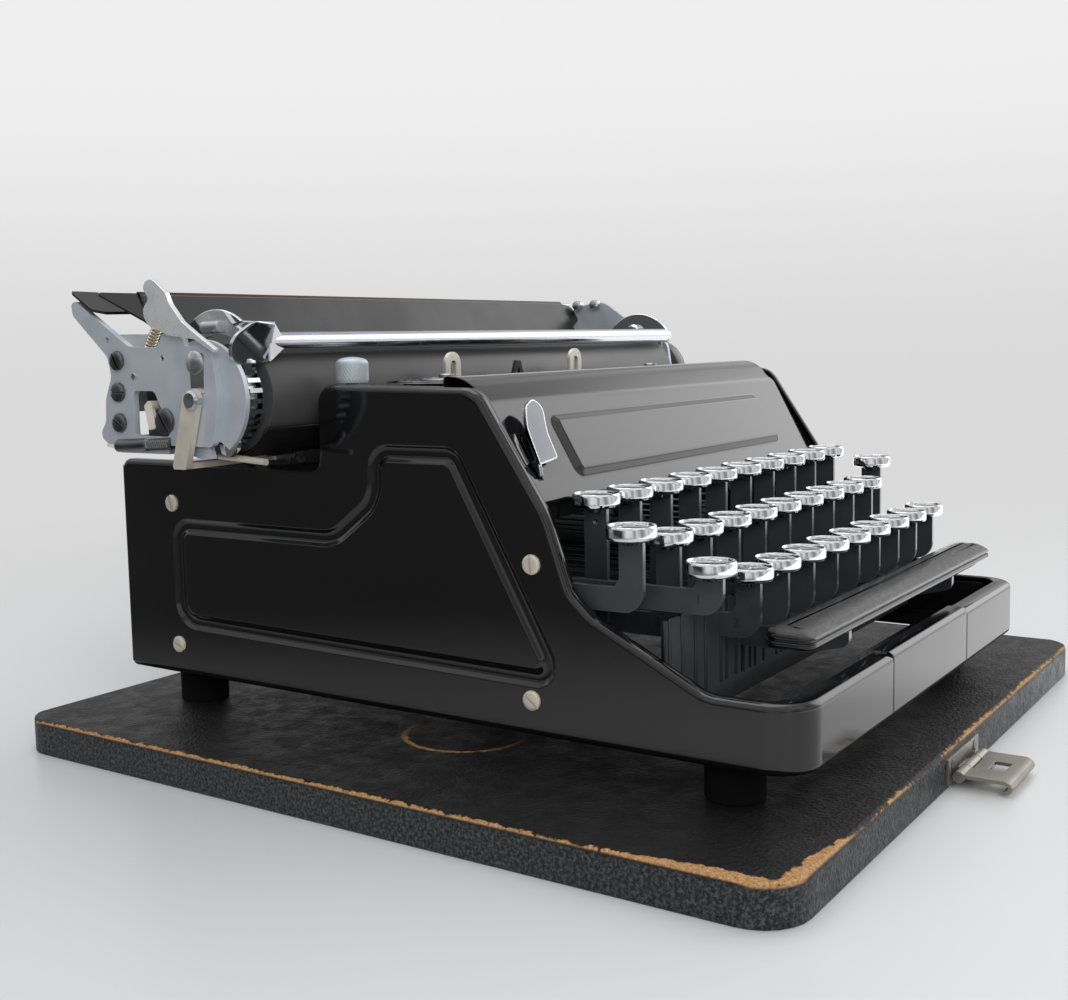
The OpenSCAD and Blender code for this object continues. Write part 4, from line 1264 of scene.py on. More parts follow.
@dataclass
class Fingerbar:
    """Space bar: moulded bar with a rounded lip on two long arms."""

    shop: Shop
    half_w: float = 84.0
    depth: Flat = (5.2, 19.2)
    base_z: float = 28.0
    # How far the top sags to its front edge, and over what width
    sag: float = 0.9
    sag_w: float = 5.5
    arms: Flat = (-50.7, 44.55)
    arm_t: float = 2.0
    # Inset of the outline and height over the base, from the underside up
    rings: tuple[Flat, ...] = (
        (2.6, 1.2), (2.0, 0.3), (1.2, 0.0), (0.4, 0.25), (0.0, 0.8), (0.0, 1.5), (0.2, 1.9), (0.7, 2.05),
        (0.7, 2.35), (0.15, 2.6), (0.0, 3.1), (0.1, 3.7), (0.45, 4.25), (1.0, 4.6), (1.7, 4.85), (2.6, 5.1),
        (3.6, 5.3), (4.8, 5.42), (6.0, 5.45))

    def build(self) -> None:
        """Makes the bar and its arms."""
        bench = Bench()
        plastic, steel = range(2)
        w, (y0, y1), z0 = self.half_w, self.depth, self.base_z
        outline = rounded([(-w, y0, 4.0), (w, y0, 4.0), (w, y1, 5.0), (-w, y1, 5.0)], 10.0)
        into = inward(outline)
        rows = []
        for inset, rise in self.rings:
            row = []
            for (x, y), m in zip(outline, into):
                px, py = x + m.x * inset, y + m.y * inset
                sag = self.sag * smoothstep((y0 + self.sag_w - py) / self.sag_w) if rise > 2.4 else 0.0
                row.append((px, py, z0 + rise - sag * min((rise - 2.4) / 2, 1.0)))
            rows.append(row)
        bench.loft(rows, plastic)
        arm = self._arm()
        for x in self.arms:
            bench.side_plate(x - self.arm_t / 2, self.arm_t, arm, steel)
            bench.block((x - 4.0, y0 + 3.4, z0 - 0.6), (x + 4.0, y0 + 11.0, z0 + 1.2), steel)
        bar = self.shop.piece("space_bar_assembly", bench.mesh("space_bar_assembly", 38.0), "space",
                              ["bar_plastic", "lever_edge"], "gloss_black_plastic", ("space_bar",))
        Shop.soften(bar, 0.0)

    def _arm(self) -> list[Flat]:
        """Outline of an arm.

        Returns:
            Its points in side view.
        """
        fy, fz = FULCRUM
        y0, z0 = self.depth[0], self.base_z
        return rounded([(fy, fz - 3, 0), (fy + 4, fz - 2, 2), (fy + 4, fz + 2, 2), (fy, fz + 3, 0),
                        (95, fz + 3, 12), (66, z0 - 2, 12), (y0 + 14, z0 - 2, 2), (y0 + 12, z0 + 1.4, 0),
                        (y0 + 2, z0 + 1.4, 0), (y0 + 2, z0 - 5, 3), (y0 + 14, z0 - 8, 4), (60, z0 - 8, 12),
                        (95, fz - 3, 12)])


@dataclass
class PlainNodes:
    """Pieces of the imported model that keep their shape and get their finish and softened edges."""

    shop: Shop
    # Node, finish and width of its edge's rounding
    looks: tuple[tuple[str, str, float], ...] = (
        ("inner_frame", "black_enamel", 0.15), ("lever_comb", "blackened_steel", 0.0),
        ("fulcrum_rod", "satin_nickel", 0.2), ("type_basket", "blackened_steel", 0.15),
        ("ribbon_guides", "guide_metal", 0.2), ("colour_lever", "leaf_chrome", 0.35),
        ("carriage_rail", "satin_nickel", 0.2), ("carriage_frame", "zinc_plate", 0.3),
        ("line_space_lever", "pale_nickel", 0.7), ("lever_spring", "spring_brass", 0.0),
        ("release_link", "warm_nickel", 0.35))

    def build(self) -> None:
        """Gives each node its finish and its edge."""
        for node, finish, width in self.looks:
            self.wear(self.shop, node, finish, width)

    @staticmethod
    def wear(shop: Shop, node: str, finish: str, width: float) -> None:
        """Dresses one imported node.

        Args:
            shop: Shop whose finishes are used.
            node: Name of the node.
            finish: Name of its finish.
            width: Width of its edges' rounding in millimetres.
        """
        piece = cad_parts[node]
        piece.data.materials.clear()
        piece.data.materials.append(shop.paints[finish])
        for face in piece.data.polygons:
            face.use_smooth = True
        piece.data.set_sharp_from_angle(angle=math.radians(32.0))
        Shop.soften(piece, width, weld=True)
        log.info("%s dressed", node)


# ---------------------------------------------------------------- keys


class KeyPart(IntEnum):
    """Material slots of a key."""

    LEVER = 0
    RING = 1
    DISC = 2
    GLASS = 3
    EDGE = 4


@dataclass
class Keyboard:
    """The key levers with their ringed glass tops."""

    shop: Shop
    key_r: float = 6.8
    key_h: float = 4.0
    lever_t: float = 1.4
    lever_h: float = 6.6
    lever_z: float = 25.5
    # Half depth of the riser under the ring
    riser: float = 3.6
    row_y: float = 30.5
    row_step: float = 19.4
    row_z: float = 45.5
    row_rise: float = 10.0
    rows: tuple[str, str, str] = ("qwertyuiop", "asdfghjkl", "zxcvbnm,.")
    shifts: Point = (0.0, 6.0, 15.5)
    first_x: float = -80.5
    # Of the keys at the left and right sides: rise over the common height, and distance from the side
    side_rise: Flat = (10.5, 4.0)
    side_gap: Flat = (6.25, 7.05)
    # Height of a single letter and of a word, and how far under the ring's top they lie
    type_size: Flat = (6.2, 3.0)
    type_depth: float = 1.27
    stamps: dict[str, str] = field(default_factory=lambda: {"caps": "1", "z": "3", "a": "2"})
    stamp_size: float = 3.6

    def build(self) -> None:
        """Makes every key."""
        signs = {",": "comma", ".": "stop"}
        for row, letters in enumerate(self.rows):
            for i, letter in enumerate(letters):
                x = self.first_x + self.shifts[row] + i * KEY_PITCH
                y = self.row_y + (2 - row) * self.row_step
                z = self.row_z + (2 - row) * self.row_rise
                self._key(signs.get(letter, letter), (x, y, z), 0.0, letter.upper())
        edge, (left, right), (left_gap, right_gap) = BODY_W / 2, self.side_rise, self.side_gap
        y, z = self.row_y + self.row_step, self.row_z + self.row_rise
        self._key("fig", (-edge + left_gap, y, z + 4), left, "FIG")
        self._key("caps", (-edge + left_gap + 7, self.row_y, self.row_z + 5), left, "CAP")
        self._key("back", (edge - right_gap, y + 2.5, z + 6.5), right, "<")

    def _key(self, name: str, top: Point, drop: float, legend: str) -> None:
        """Makes one key.

        Args:
            name: Name of the key after its prefix.
            top: Middle of its ring's top.
            drop: Rise of the lever over the common height.
            legend: What is printed on it.
        """
        bench = Bench()
        (x, y, z), lz = top, self.lever_z + drop
        self._lever(bench, name, top, lz)
        self._top(bench, (x, y, z - self.key_h))
        body, full = f"lever_{name}", f"key_{name}_assembly"
        self.shop.piece(full, bench.mesh(full), body,
                        ["blackened_steel", "bright_chrome", "key_disc", "key_glass", "lever_edge"],
                        "dark_steel", (f"key_{name}",))
        flat = Matrix.Translation(at(x, y, z - self.type_depth))
        letter, word = self.type_size
        self._print(f"legend_{name}_print", legend, letter if len(legend) == 1 else word, flat, body)
        if name in self.stamps:
            turn = Matrix(((0, 0, -1), (-1, 0, 0), (0, 1, 0))).to_4x4()
            spot = Matrix.Translation(at(x - self.lever_t / 2 - 0.01, y + 3.5, lz + 4.0)) @ turn
            self._print(f"stamp_{name}_mark", self.stamps[name], self.stamp_size, spot, body)

    def _lever(self, bench: Bench, name: str, top: Point, lz: float) -> None:
        """Makes a key's lever and riser, with its front edge in a paler metal, a painted reflection of the
        bright room.

        Args:
            bench: The key's bench.
            name: Name of the key after its prefix.
            top: Middle of its ring's top.
            lz: Height of the lever's lower edge.
        """
        (x, y, z), h, (fy, fz), k = top, self.lever_h, FULCRUM, self.key_h
        front, back = y - self.riser, y + self.riser
        outline = rounded([(fy, fz - h / 2, 0), (fy + 4.3, fz - 2.4, 2.4), (fy + 4.3, fz + 2.4, 2.4),
                           (fy, fz + h / 2, 0), (y + 40, lz + h, 12), (back, lz + h, 3),
                           (back, z - k, 0), (front, z - k, 0), (front, lz, 6), (y + 44, lz, 12)])
        holes = [circle((y, z - k - 4), 0.8, 14)] if name == "q" else None
        bench.side_plate(x - self.lever_t / 2, self.lever_t, outline, KeyPart.LEVER, holes)
        # The front edge faces take the paler metal, a painted reflection of the bright room in front
        edge_y = at(0, front, 0).y
        for face in bench.bm.faces:
            if all(abs(v.co.y - edge_y) < 0.00002 for v in face.verts):
                face.material_index = KeyPart.EDGE

    def _top(self, bench: Bench, base: Point) -> None:
        """Makes a key's ring, disc and glass.

        Args:
            bench: The key's bench.
            base: Middle of the ring's underside.
        """
        r, k = self.key_r, self.key_h
        ring = [(0.2, -1.2), (2.6, -1.2), (3.4, 0), (r - 0.9, 0), (r - 0.25, 0.35), (r, 1.0),
                (r + 0.02, 1.15), (r, 1.3), (r - 0.02, k - 0.7), (r - 0.12, k - 0.3), (r - 0.4, k - 0.03),
                (r - 0.65, k - 0.05), (r - 0.85, k - 0.3), (r - 0.95, k - 0.6), (r - 1.0, k - 1.6),
                (0.2, k - 1.6)]
        disc = [(0.1, k - 1.5), (r - 1.15, k - 1.5), (r - 1.15, k - 1.3), (0.1, k - 1.3)]
        glass = [(0.1, k - 1.1), (r - 1.06, k - 1.1), (r - 1.06, k - 0.62), (r - 1.8, k - 0.42),
                 (r - 3.2, k - 0.3), (0.1, k - 0.24)]
        bench.turned(base, UP, ring, 48, KeyPart.RING)
        bench.turned(base, UP, disc, 32, KeyPart.DISC)
        bench.turned(base, UP, glass, 32, KeyPart.GLASS)

    def _print(self, name: str, text: str, size: float, place: Matrix, body: str) -> None:
        """Prints a sign.

        Args:
            name: Name of the piece.
            text: What it says.
            size: Height of the type in millimetres.
            place: Where it goes, in the row frame.
            body: Body that it rides on.
        """
        curve = bpy.data.curves.new(name, "FONT")
        curve.body = text
        curve.size = size * MM
        curve.align_x = curve.align_y = "CENTER"
        curve.extrude = 0.00002
        shown = bpy.data.objects.new(name + "_type", curve)
        bpy.context.scene.collection.objects.link(shown)
        bpy.context.view_layer.update()
        mesh = bpy.data.meshes.new_from_object(shown.evaluated_get(bpy.context.evaluated_depsgraph_get()))
        mesh.materials.clear()
        mesh.transform(place)
        bpy.data.objects.remove(shown)
        self.shop.piece(name, mesh, body, ["legend_ink"], "dark_steel")


# ---------------------------------------------------------------- ribbon and deck


@dataclass
class RibbonDeck:
    """Winder knob on the deck and the two ribbon spools."""

    shop: Shop
    knob: Flat = (-92.2, 147.2)
    knob_r: float = 5.0
    knob_z: Flat = (96.7, 104.4)
    crown_h: float = 1.4
    # Inset and rise of the knob's crown
    crown: tuple[Flat, ...] = ((0.7, 0.5), (1.6, 0.95), (3.0, 1.25), (4.4, 1.4))
    knurls: int = 30
    spool: Flat = (66.0, 131.2)
    spool_r: float = 19.0
    spool_h: float = 16.2
    # Height of each flange over the deck's level, and which way its rim is pressed
    flanges: tuple[Flat, Flat] = ((1.6, 1.0), (15.0, -1.0))
    dimples: int = 5
    dimple: tuple[Flat, ...] = ((1.9, 0.0), (1.9, 0.35), (1.4, 0.3), (1.3, 0.12))
    dimples_r: float = 12.2

    def build(self) -> None:
        """Makes the spools and the knob."""
        for side in Side:
            self._spool(side)
        self._knob()

    def _spool(self, side: Side) -> None:
        """Makes one spool: two pressed flanges, the wound ribbon between them and its hub.

        Args:
            side: Which side it is on.
        """
        x, y, r, h = side.value * self.spool[0], self.spool[1], self.spool_r, self.spool_h
        bench = Bench()
        steel, wound = range(2)
        for low, lift in self.flanges:
            z = DECK_Z + low
            flange = [(9.0, 0.0), (r - 4.6, 0.0), (r - 3.8, -0.3 * lift), (r - 0.3, -0.3 * lift), (r, 0.0),
                      (r - 0.1, 0.3), (r - 3.6, 0.3), (r - 4.4, 0.6), (9.0, 0.6)]
            bench.turned((x, y, z), UP, flange, 72, steel)
            for px, py in circle((x, y), self.dimples_r, self.dimples):
                bench.turned((px, py, z + 0.5), UP, list(self.dimple), 24, steel)
        ribbon = [(r - 5.4, 0.0), (r - 5.2, 0.8), (r - 5.2, h - 4.4), (r - 5.4, h - 3.6)]
        bench.turned((x, y, DECK_Z + 2.2), UP, ribbon, 72, wound)
        hub = [(2.9, -5.0), (2.9, 1.6), (8.8, 1.7), (8.8, h - 0.4), (8.2, h), (5.2, h + 0.1), (4.4, h - 0.9),
               (2.6, h - 0.9), (2.5, h + 0.9), (2.0, h + 1.3), (0.1, h + 1.4)]
        bench.turned((x, y, DECK_Z), UP, hub, 48, steel)
        name = side.name.lower()
        full = f"spool_{name}_assembly"
        self.shop.piece(full, bench.mesh(full), f"spool_{name}", ["spool_steel", "platen_rubber"],
                        "dark_steel", (f"ribbon_spool_{name}",))

    def _knob(self) -> None:
        """Makes the knurled winder knob."""
        x, y = self.knob
        low, high = self.knob_z
        bench = Bench()
        stem = [(1.9, 0), (1.9, 5.7), (3.2, 5.8), (3.2, 6.8), (2.0, 6.9), (2.0, low - DECK_Z + 4.2)]
        bench.turned((x, y, DECK_Z - 4), UP, stem, 28)
        rows, steps, facets = [], 16, 6
        around = self.knurls * facets
        turns = [2 * math.pi * i / around for i in range(around)]
        for j in range(steps + 1):
            z = low + (high - low - self.crown_h) * j / steps
            ends = min(j, steps - j, 2) / 2
            row = []
            for i, a in enumerate(turns):
                # Two sets of grooves cross each other
                u, v = (i / facets + j * 0.25) % 1.0, (i / facets - j * 0.25) % 1.0
                cut = 0.4 * ends * max(abs(2 * u - 1), abs(2 * v - 1)) ** 3
                r = self.knob_r - 0.25 * (1 - ends) - cut
                row.append((x + r * math.cos(a), y + r * math.sin(a), z))
            rows.append(row)
        for inset, rise in self.crown:
            r, z = self.knob_r - inset, high - self.crown_h + rise
            rows.append([(x + r * math.cos(a), y + r * math.sin(a), z) for a in turns])
        bench.loft(rows)
        self.shop.piece("winder_knob_assembly", bench.mesh("winder_knob_assembly", 50.0), "winder",
                        ["zinc_plate"], "satin_nickel", ("winder_knob",))


# ---------------------------------------------------------------- carriage


@dataclass
class Platen:
    """Rubber roller with its ratchet wheel, shaft and right knob."""

    shop: Shop
    r: float = 16.5
    shaft_r: float = 3.0
    teeth: int = 30
    # Share of a tooth's pitch, and depth there
    tooth: tuple[Flat, ...] = ((0.0, 0.0), (0.42, 0.0), (0.52, 2.4), (0.9, 2.4))
    knob: tuple[Flat, ...] = (
        (0.5, 0), (9, 0), (13.0, 0.6), (14.1, 1.5), (14.6, 2.8), (14.6, 9), (14.3, 10.2), (13.4, 11.1),
        (11.6, 11.9), (9, 12.5), (5, 12.9), (0.5, 13))

    def build(self) -> None:
        """Makes the roller's pieces."""
        bench = Bench()
        rubber, chrome, plastic = range(3)
        x0, x1, r = PLATE_LO + 14.0, PLATE_HI - 6.0, self.r
        long = x1 - x0
        roller = [(3.2, 0), (r - 0.6, 0), (r - 0.15, 0.2), (r, 0.7), (r, long - 0.7), (r - 0.15, long - 0.2),
                  (r - 0.6, long), (3.2, long)]
        bench.turned((x0, *PLATEN), ACROSS, roller, 120, rubber)
        bench.turned((x0 - 0.4, *PLATEN), ACROSS, [(3.0, 0), (12.6, 0), (12.6, 0.6), (3.0, 0.6)], 64, chrome)
        bench.bar_x(PLATE_LO + 1.1, PLATE_HI + 2, PLATEN, self.shaft_r - 0.05, 32, chrome)
        wheel = []
        for i in range(self.teeth):
            for lead, depth in self.tooth:
                a = (i + lead) * 2 * math.pi / self.teeth
                wheel.append(((r - 1.6 - depth) * math.cos(a), (r - 1.6 - depth) * math.sin(a)))
        bench.side_plate(PLATE_LO + 6.5, 5.0, off(wheel), chrome)
        bench.turned((PLATE_HI + 1.5, *PLATEN), ACROSS, list(self.knob), 80, plastic)
        self.shop.piece("platen_assembly", bench.mesh("platen_assembly"), "platen_roll",
                        ["platen_rubber", "brushed_chrome", "knob_plastic"], "platen_rubber", ("platen",))


@dataclass
class CarriageEnd:
    """Left end plate of the carriage with its screws, strap, window and small levers."""

    shop: Shop
    x: float = PLATE_LO
    t: float = 2.0
    outline: tuple[Point, ...] = (
        (55.5, 29.6, 1), (53.5, 30.4, 1), (29.5, 16, 2), (16.5, 15.4, 1), (14.5, 19.4, 1.2), (6.5, 19.4, 1.2),
        (4.5, 15.8, 1), (-6, 15.8, 3), (-8.2, 1, 10), (-5.5, -13.6, 2), (41, -13.6, 0.8), (45, -11.4, 2.4),
        (41.6, -7, 3), (41.2, 0, 8), (38, 7, 5), (39.5, 13, 5), (55, 26, 3))
    window: tuple[Point, ...] = ((28.3, -11, 1), (28.3, 2.6, 1.5), (19, 2.6, 2), (13, -8, 1), (13, -11, 1))
    holes: tuple[Point, ...] = ((39.2, 18.1, 0.9), (14.7, 12.4, 0.9))
    # Place, radius and slot angle
    screws: tuple[tuple[float, float, float, float], ...] = (
        (34.7, 11.8, 3.0, 60.0), (34.8, 2.2, 3.0, 0.0), (34.8, -7.1, 3.0, 30.0), (14.4, -6.4, 3.9, 55.0))
    # Place, radius and height
    bosses: tuple[tuple[float, float, float, float], ...] = ((0.5, 10.9, 3.5, 1.0), (27.6, 7.0, 1.1, 0.5))
    stud: tuple[Flat, ...] = ((2.2, 0), (2.2, 3.4), (3.0, 3.45), (3.0, 3.9), (2.2, 4.5), (0.1, 4.6))
    # The guard disc: its radius and thickness, the two points of its cut and the arc from the first one
    guard_r: float = 17.5
    guard_t: float = 1.5
    guard_cut: tuple[Flat, Flat] = ((-7.0, -12.4), (-1.0, -11.0))
    guard_arc: Flat = (19.0, 355.0)
    strap: tuple[Point, ...] = ((-3.6, 13.8, 1.0), (2.9, 13.8, 1.0), (2.6, 2.0, 0.4), (-3.0, 2.0, 0.4))
    foot_strip: tuple[Flat, ...] = ((42.1, -13.6), (42.1, -14.6), (31.6, -16.0), (31.6, -13.6))
    bracket: tuple[Flat, ...] = ((31.0, -12.5), (31.0, 5.0), (16.0, 5.0), (9.0, -12.5))
    # Place, radius and gap behind the plate of the two pins in the window
    pins: tuple[tuple[float, float, float, float], ...] = ((24.6, -2.0, 1.5, 0.6), (23.6, -7.0, 1.8, 1.2))
    latch: tuple[Point, ...] = ((26.8, -1.0, 1), (23.6, -1.6, 1), (21.4, -8.6, 1), (24.8, -9.6, 1))
    pawl: tuple[Point, ...] = (
        (2.2, -13.0, 0.3), (1.8, -14.6, 0.4), (-0.6, -14.8, 1), (-7.3, -17, 0.8), (-10.3, -14.3, 0.6),
        (-10.8, -12, 0.5), (-3.7, -13.2, 1))
    detent: tuple[Point, ...] = ((-10.9, 11.5, 0.5), (-15.5, 11.2, 0.6), (-15, 7, 0.8), (-13.4, 6.6, 0.6))
    finger_rod: tuple[Flat, ...] = ((2.0, -17.2), (-8.0, -17.8), (-17.1, -18.4))
    # The threaded bar: its front end, its length, its fall over that length and its threaded share
    bar_start: Flat = (12.5, -12.9)
    bar_length: float = 24.2
    bar_fall: float = 1.3
    threaded: float = 0.42

    def build(self) -> None:
        """Makes the plate, then what is fixed to it."""
        self._plate()
        self._screws()
        self._strap()
        self._behind()

    def _plate(self) -> None:
        """Makes the end plate with the guard disc behind it."""
        bench = Bench()
        holes = [off(rounded(list(self.window), 20.0))]
        holes += [off(circle((y, z), r, 14)) for y, z, r in self.holes]
        bench.side_plate(self.x, self.t, off(rounded(list(self.outline))), 0, holes)
        y, z = self.guard_cut[0]
        low = math.degrees(math.atan2(z, y))
        start, end = self.guard_arc
        ring = circle((0.0, 0.0), self.guard_r, 70, low + start, low + end)
        bench.side_plate(self.x + self.t, self.guard_t, off([*ring, *self.guard_cut]))
        plate = self.shop.piece("carriage_end_plate", bench.mesh("carriage_end_plate"), "carriage",
                                ["zinc_plate"], "satin_nickel", ("carriage_plate_left",))
        Shop.soften(plate, 0.3, 40.0)

    def _screws(self) -> None:
        """Makes the dark screws, the boss, the dimple and the release link's stud."""
        bench = Bench()
        dark, chrome = range(2)
        out = -ACROSS
        for y, z, r, slot in self.screws:
            bench.screw((self.x + 0.1, *off([(y, z)])[0]), out, r, 1.5, slot, dark)
        for y, z, r, h in self.bosses:
            boss = [(r, 0), (r, h * 0.6), (r * 0.8, h), (0.1, h * 1.1)]
            bench.turned((self.x + 0.1, *off([(y, z)])[0]), out, boss, 32, chrome)
        bench.turned((self.x + 0.8, *PLATEN), out, list(self.stud), 32, chrome)
        self.shop.piece("end_plate_screws", bench.mesh("end_plate_screws"), "carriage",
                        ["dark_screw", "brushed_chrome"], "warm_nickel")

    def _strap(self) -> None:
        """Makes the chrome strap over the boss and the foot strip under the plate."""
        bench = Bench()
        chrome, ivory = range(2)
        bench.side_plate(self.x - 0.32, 0.35, off(rounded(list(self.strap), 20.0)), chrome)
        bench.side_plate(self.x + 0.2, 14.0, off(list(self.foot_strip)), ivory)
        strap = self.shop.piece("end_plate_strap", bench.mesh("end_plate_strap"), "carriage",
                                ["brushed_chrome", "ivory_bead"], "satin_nickel")
        Shop.soften(strap, 0.12, 40.0)

    def _behind(self) -> None:
        """Makes the dark bracket in the window, the threaded bar and the small pawls."""
        bench = Bench()
        dark, ivory, warm, chrome = range(4)
        x = self.x + self.t
        bench.side_plate(x + 5.5, 1.0, off(list(self.bracket)), dark)
        for (y, z, r, gap), finish in zip(self.pins, (ivory, warm)):
            bench.bar_x(x + gap, x + 5.5, (PLATEN[0] + y, PLATEN[1] + z), r, 20, finish)
        bench.side_plate(x + 0.4, 1.2, off(rounded(list(self.latch), 30.0)), ivory)
        self._threaded_bar(bench, x - 1.4, dark)
        bench.side_plate(x + 2.6, 1.6, off(rounded(list(self.pawl), 20.0)), chrome)
        rod = [Vector((self.x + 9.5, PLATEN[0] + y, PLATEN[1] + z)) for y, z in self.finger_rod]
        bench.tube(rod, 1.0, 12, warm)
        bench.side_plate(x + 5.0, 1.4, off(rounded(list(self.detent), 20.0)), chrome)
        self.shop.piece("end_plate_works", bench.mesh("end_plate_works"), "carriage",
                        ["dark_screw", "ivory_bead", "warm_nickel", "bright_chrome"], "warm_nickel")

    def _threaded_bar(self, bench: Bench, x: float, material: int) -> None:
        """Makes the bar under the plate, threaded at its front.

        Args:
            bench: The bench of the plate's works.
            x: Place of its axis across.
            material: Material slot of the bar.
        """
        y0, z0 = off([self.bar_start])[0]
        steps = 107
        rings = []
        for i in range(steps + 1):
            u = i / steps
            ridge = 0.32 if (i // 2) % 2 == 0 and u < self.threaded else 0.0
            r = 1.6 + ridge + 0.45 * smoothstep((u - self.threaded) / 0.03)
            y, z = y0 + self.bar_length * u, z0 - self.bar_fall * u
            rings.append([(x + c, y, z + s) for c, s in circle((0.0, 0.0), r, 14)])
        bench.loft(rings, material)


@dataclass
class PaperRest:
    """Paper table behind the platen, with its trough, end wings and lines."""

    shop: Shop
    x0: float = -117.5
    x1: float = 128.5
    foot: Flat = (17.2, -0.4)
    top: Flat = (37.0, 33.6)
    trough_r: float = 17.2
    sheet: float = 0.9
    # Distances up the leaning sheet at which it has points
    marks: tuple[float, ...] = (2.0, 5.0, 9.0, 16.0, 24.0, 32.0, 37.0, 38.6)
    curl_r: float = 1.1
    curl: tuple[float, ...] = (0.5, 1.0, 1.6, 2.3, 3.0)
    wing_t: Flat = (0.6, 1.5)
    flap: tuple[Point, ...] = (
        (-129.0, 56.0, 1.0), (-119.0, 55.6, 1.0), (-107.5, 44.0, 1.0), (-126.0, 43.4, 1.0),
        (-130.2, 45.0, 1.0))

    def build(self) -> None:
        """Makes the table's sheets."""
        bench = Bench()
        trough = [(self.trough_r * math.cos(math.radians(a)), self.trough_r * math.sin(math.radians(a)))
                  for a in range(-150, 1, 6)]
        foot = Vector(self.foot)
        lean = (Vector(self.top) - foot).normalized()
        back = Vector((lean.y, -lean.x))
        line = [tuple(foot + lean * s + back * (self.sheet * smoothstep(s / 8))) for s in self.marks]
        tip = Vector(line[-1])
        curl = [tuple(tip + lean * (self.curl_r * math.sin(a)) + back * (self.curl_r * (1 - math.cos(a))))
                for a in self.curl]
        sheet = off([*trough, *line, *curl])
        bench.loft([[(x, y, z) for y, z in sheet] for x in (self.x0, self.x1)], 0, False, False)
        bench.aim((0.0, -0.7, 0.7))
        table = self.shop.piece("paper_table_sheet", bench.mesh("paper_table_sheet", 50.0, True), "carriage",
                                ["satin_enamel"], "black_enamel", ("paper_table",))
        Shop.thicken(table, self.sheet)
        Shop.soften(table, 0.0)
        self._wings(tip, lean, back)

    def _wings(self, tip: Vector, lean: Vector, back: Vector) -> None:
        """Makes the wings at both ends, the top rod and the painted line.

        Args:
            tip: Top of the sheet, from the platen's axis.
            lean: Direction up the sheet.
            back: Direction out of its back.
        """
        bench = Bench()
        enamel, gilt, nickel = range(3)
        top = tip + Vector(PLATEN)

        def slab(outline: list[Flat], thick: Flat, material: int) -> None:
            """Makes a slab in the table's plane.

            Args:
                outline: Its points as (x, distance under the top edge).
                thick: Where its faces lie behind the sheet.
                material: Its material slot.
            """
            rings = [[(x, *(top - lean * s + back * rise)) for x, s in outline] for rise in thick]
            bench.loft(rings, material)

        left, right = self.x0 + 2, self.x1 - 3
        wings_at = ([(left, -0.4, 0.5), (-133.6, -0.4, 0.6), (-119.4, 9.4, 2.0), (left, 13.0, 0.5)],
                    [(right, -0.4, 0.5), (137.2, 1.6, 4.0), (137.2, 9.0, 3.0), (right, 14.0, 0.5)])
        slab(rounded(wings_at[0]), self.wing_t, enamel)
        bench.loft([[(x, PLATEN[0] + y, PLATEN[1] + 2.6 + y * 0.54 + rise)
                     for x, y in rounded(list(self.flap), 20.0)] for rise in (0.0, 0.9)])
        slab(rounded(wings_at[1]), self.wing_t, enamel)
        slab([(-117.0, 0.5), (128.0, 0.5), (128.0, 0.8), (-117.0, 0.8)], (-0.04, 0.1), gilt)
        bench.bar_x(-116.5, 138.0, tuple(top + back * 2.1), 0.9, 16, nickel)
        wings = self.shop.piece("paper_table_wings", bench.mesh("paper_table_wings"), "carriage",
                                ["satin_enamel", "gilt_line", "satin_nickel"], "black_enamel")
        Shop.soften(wings, 0.0)


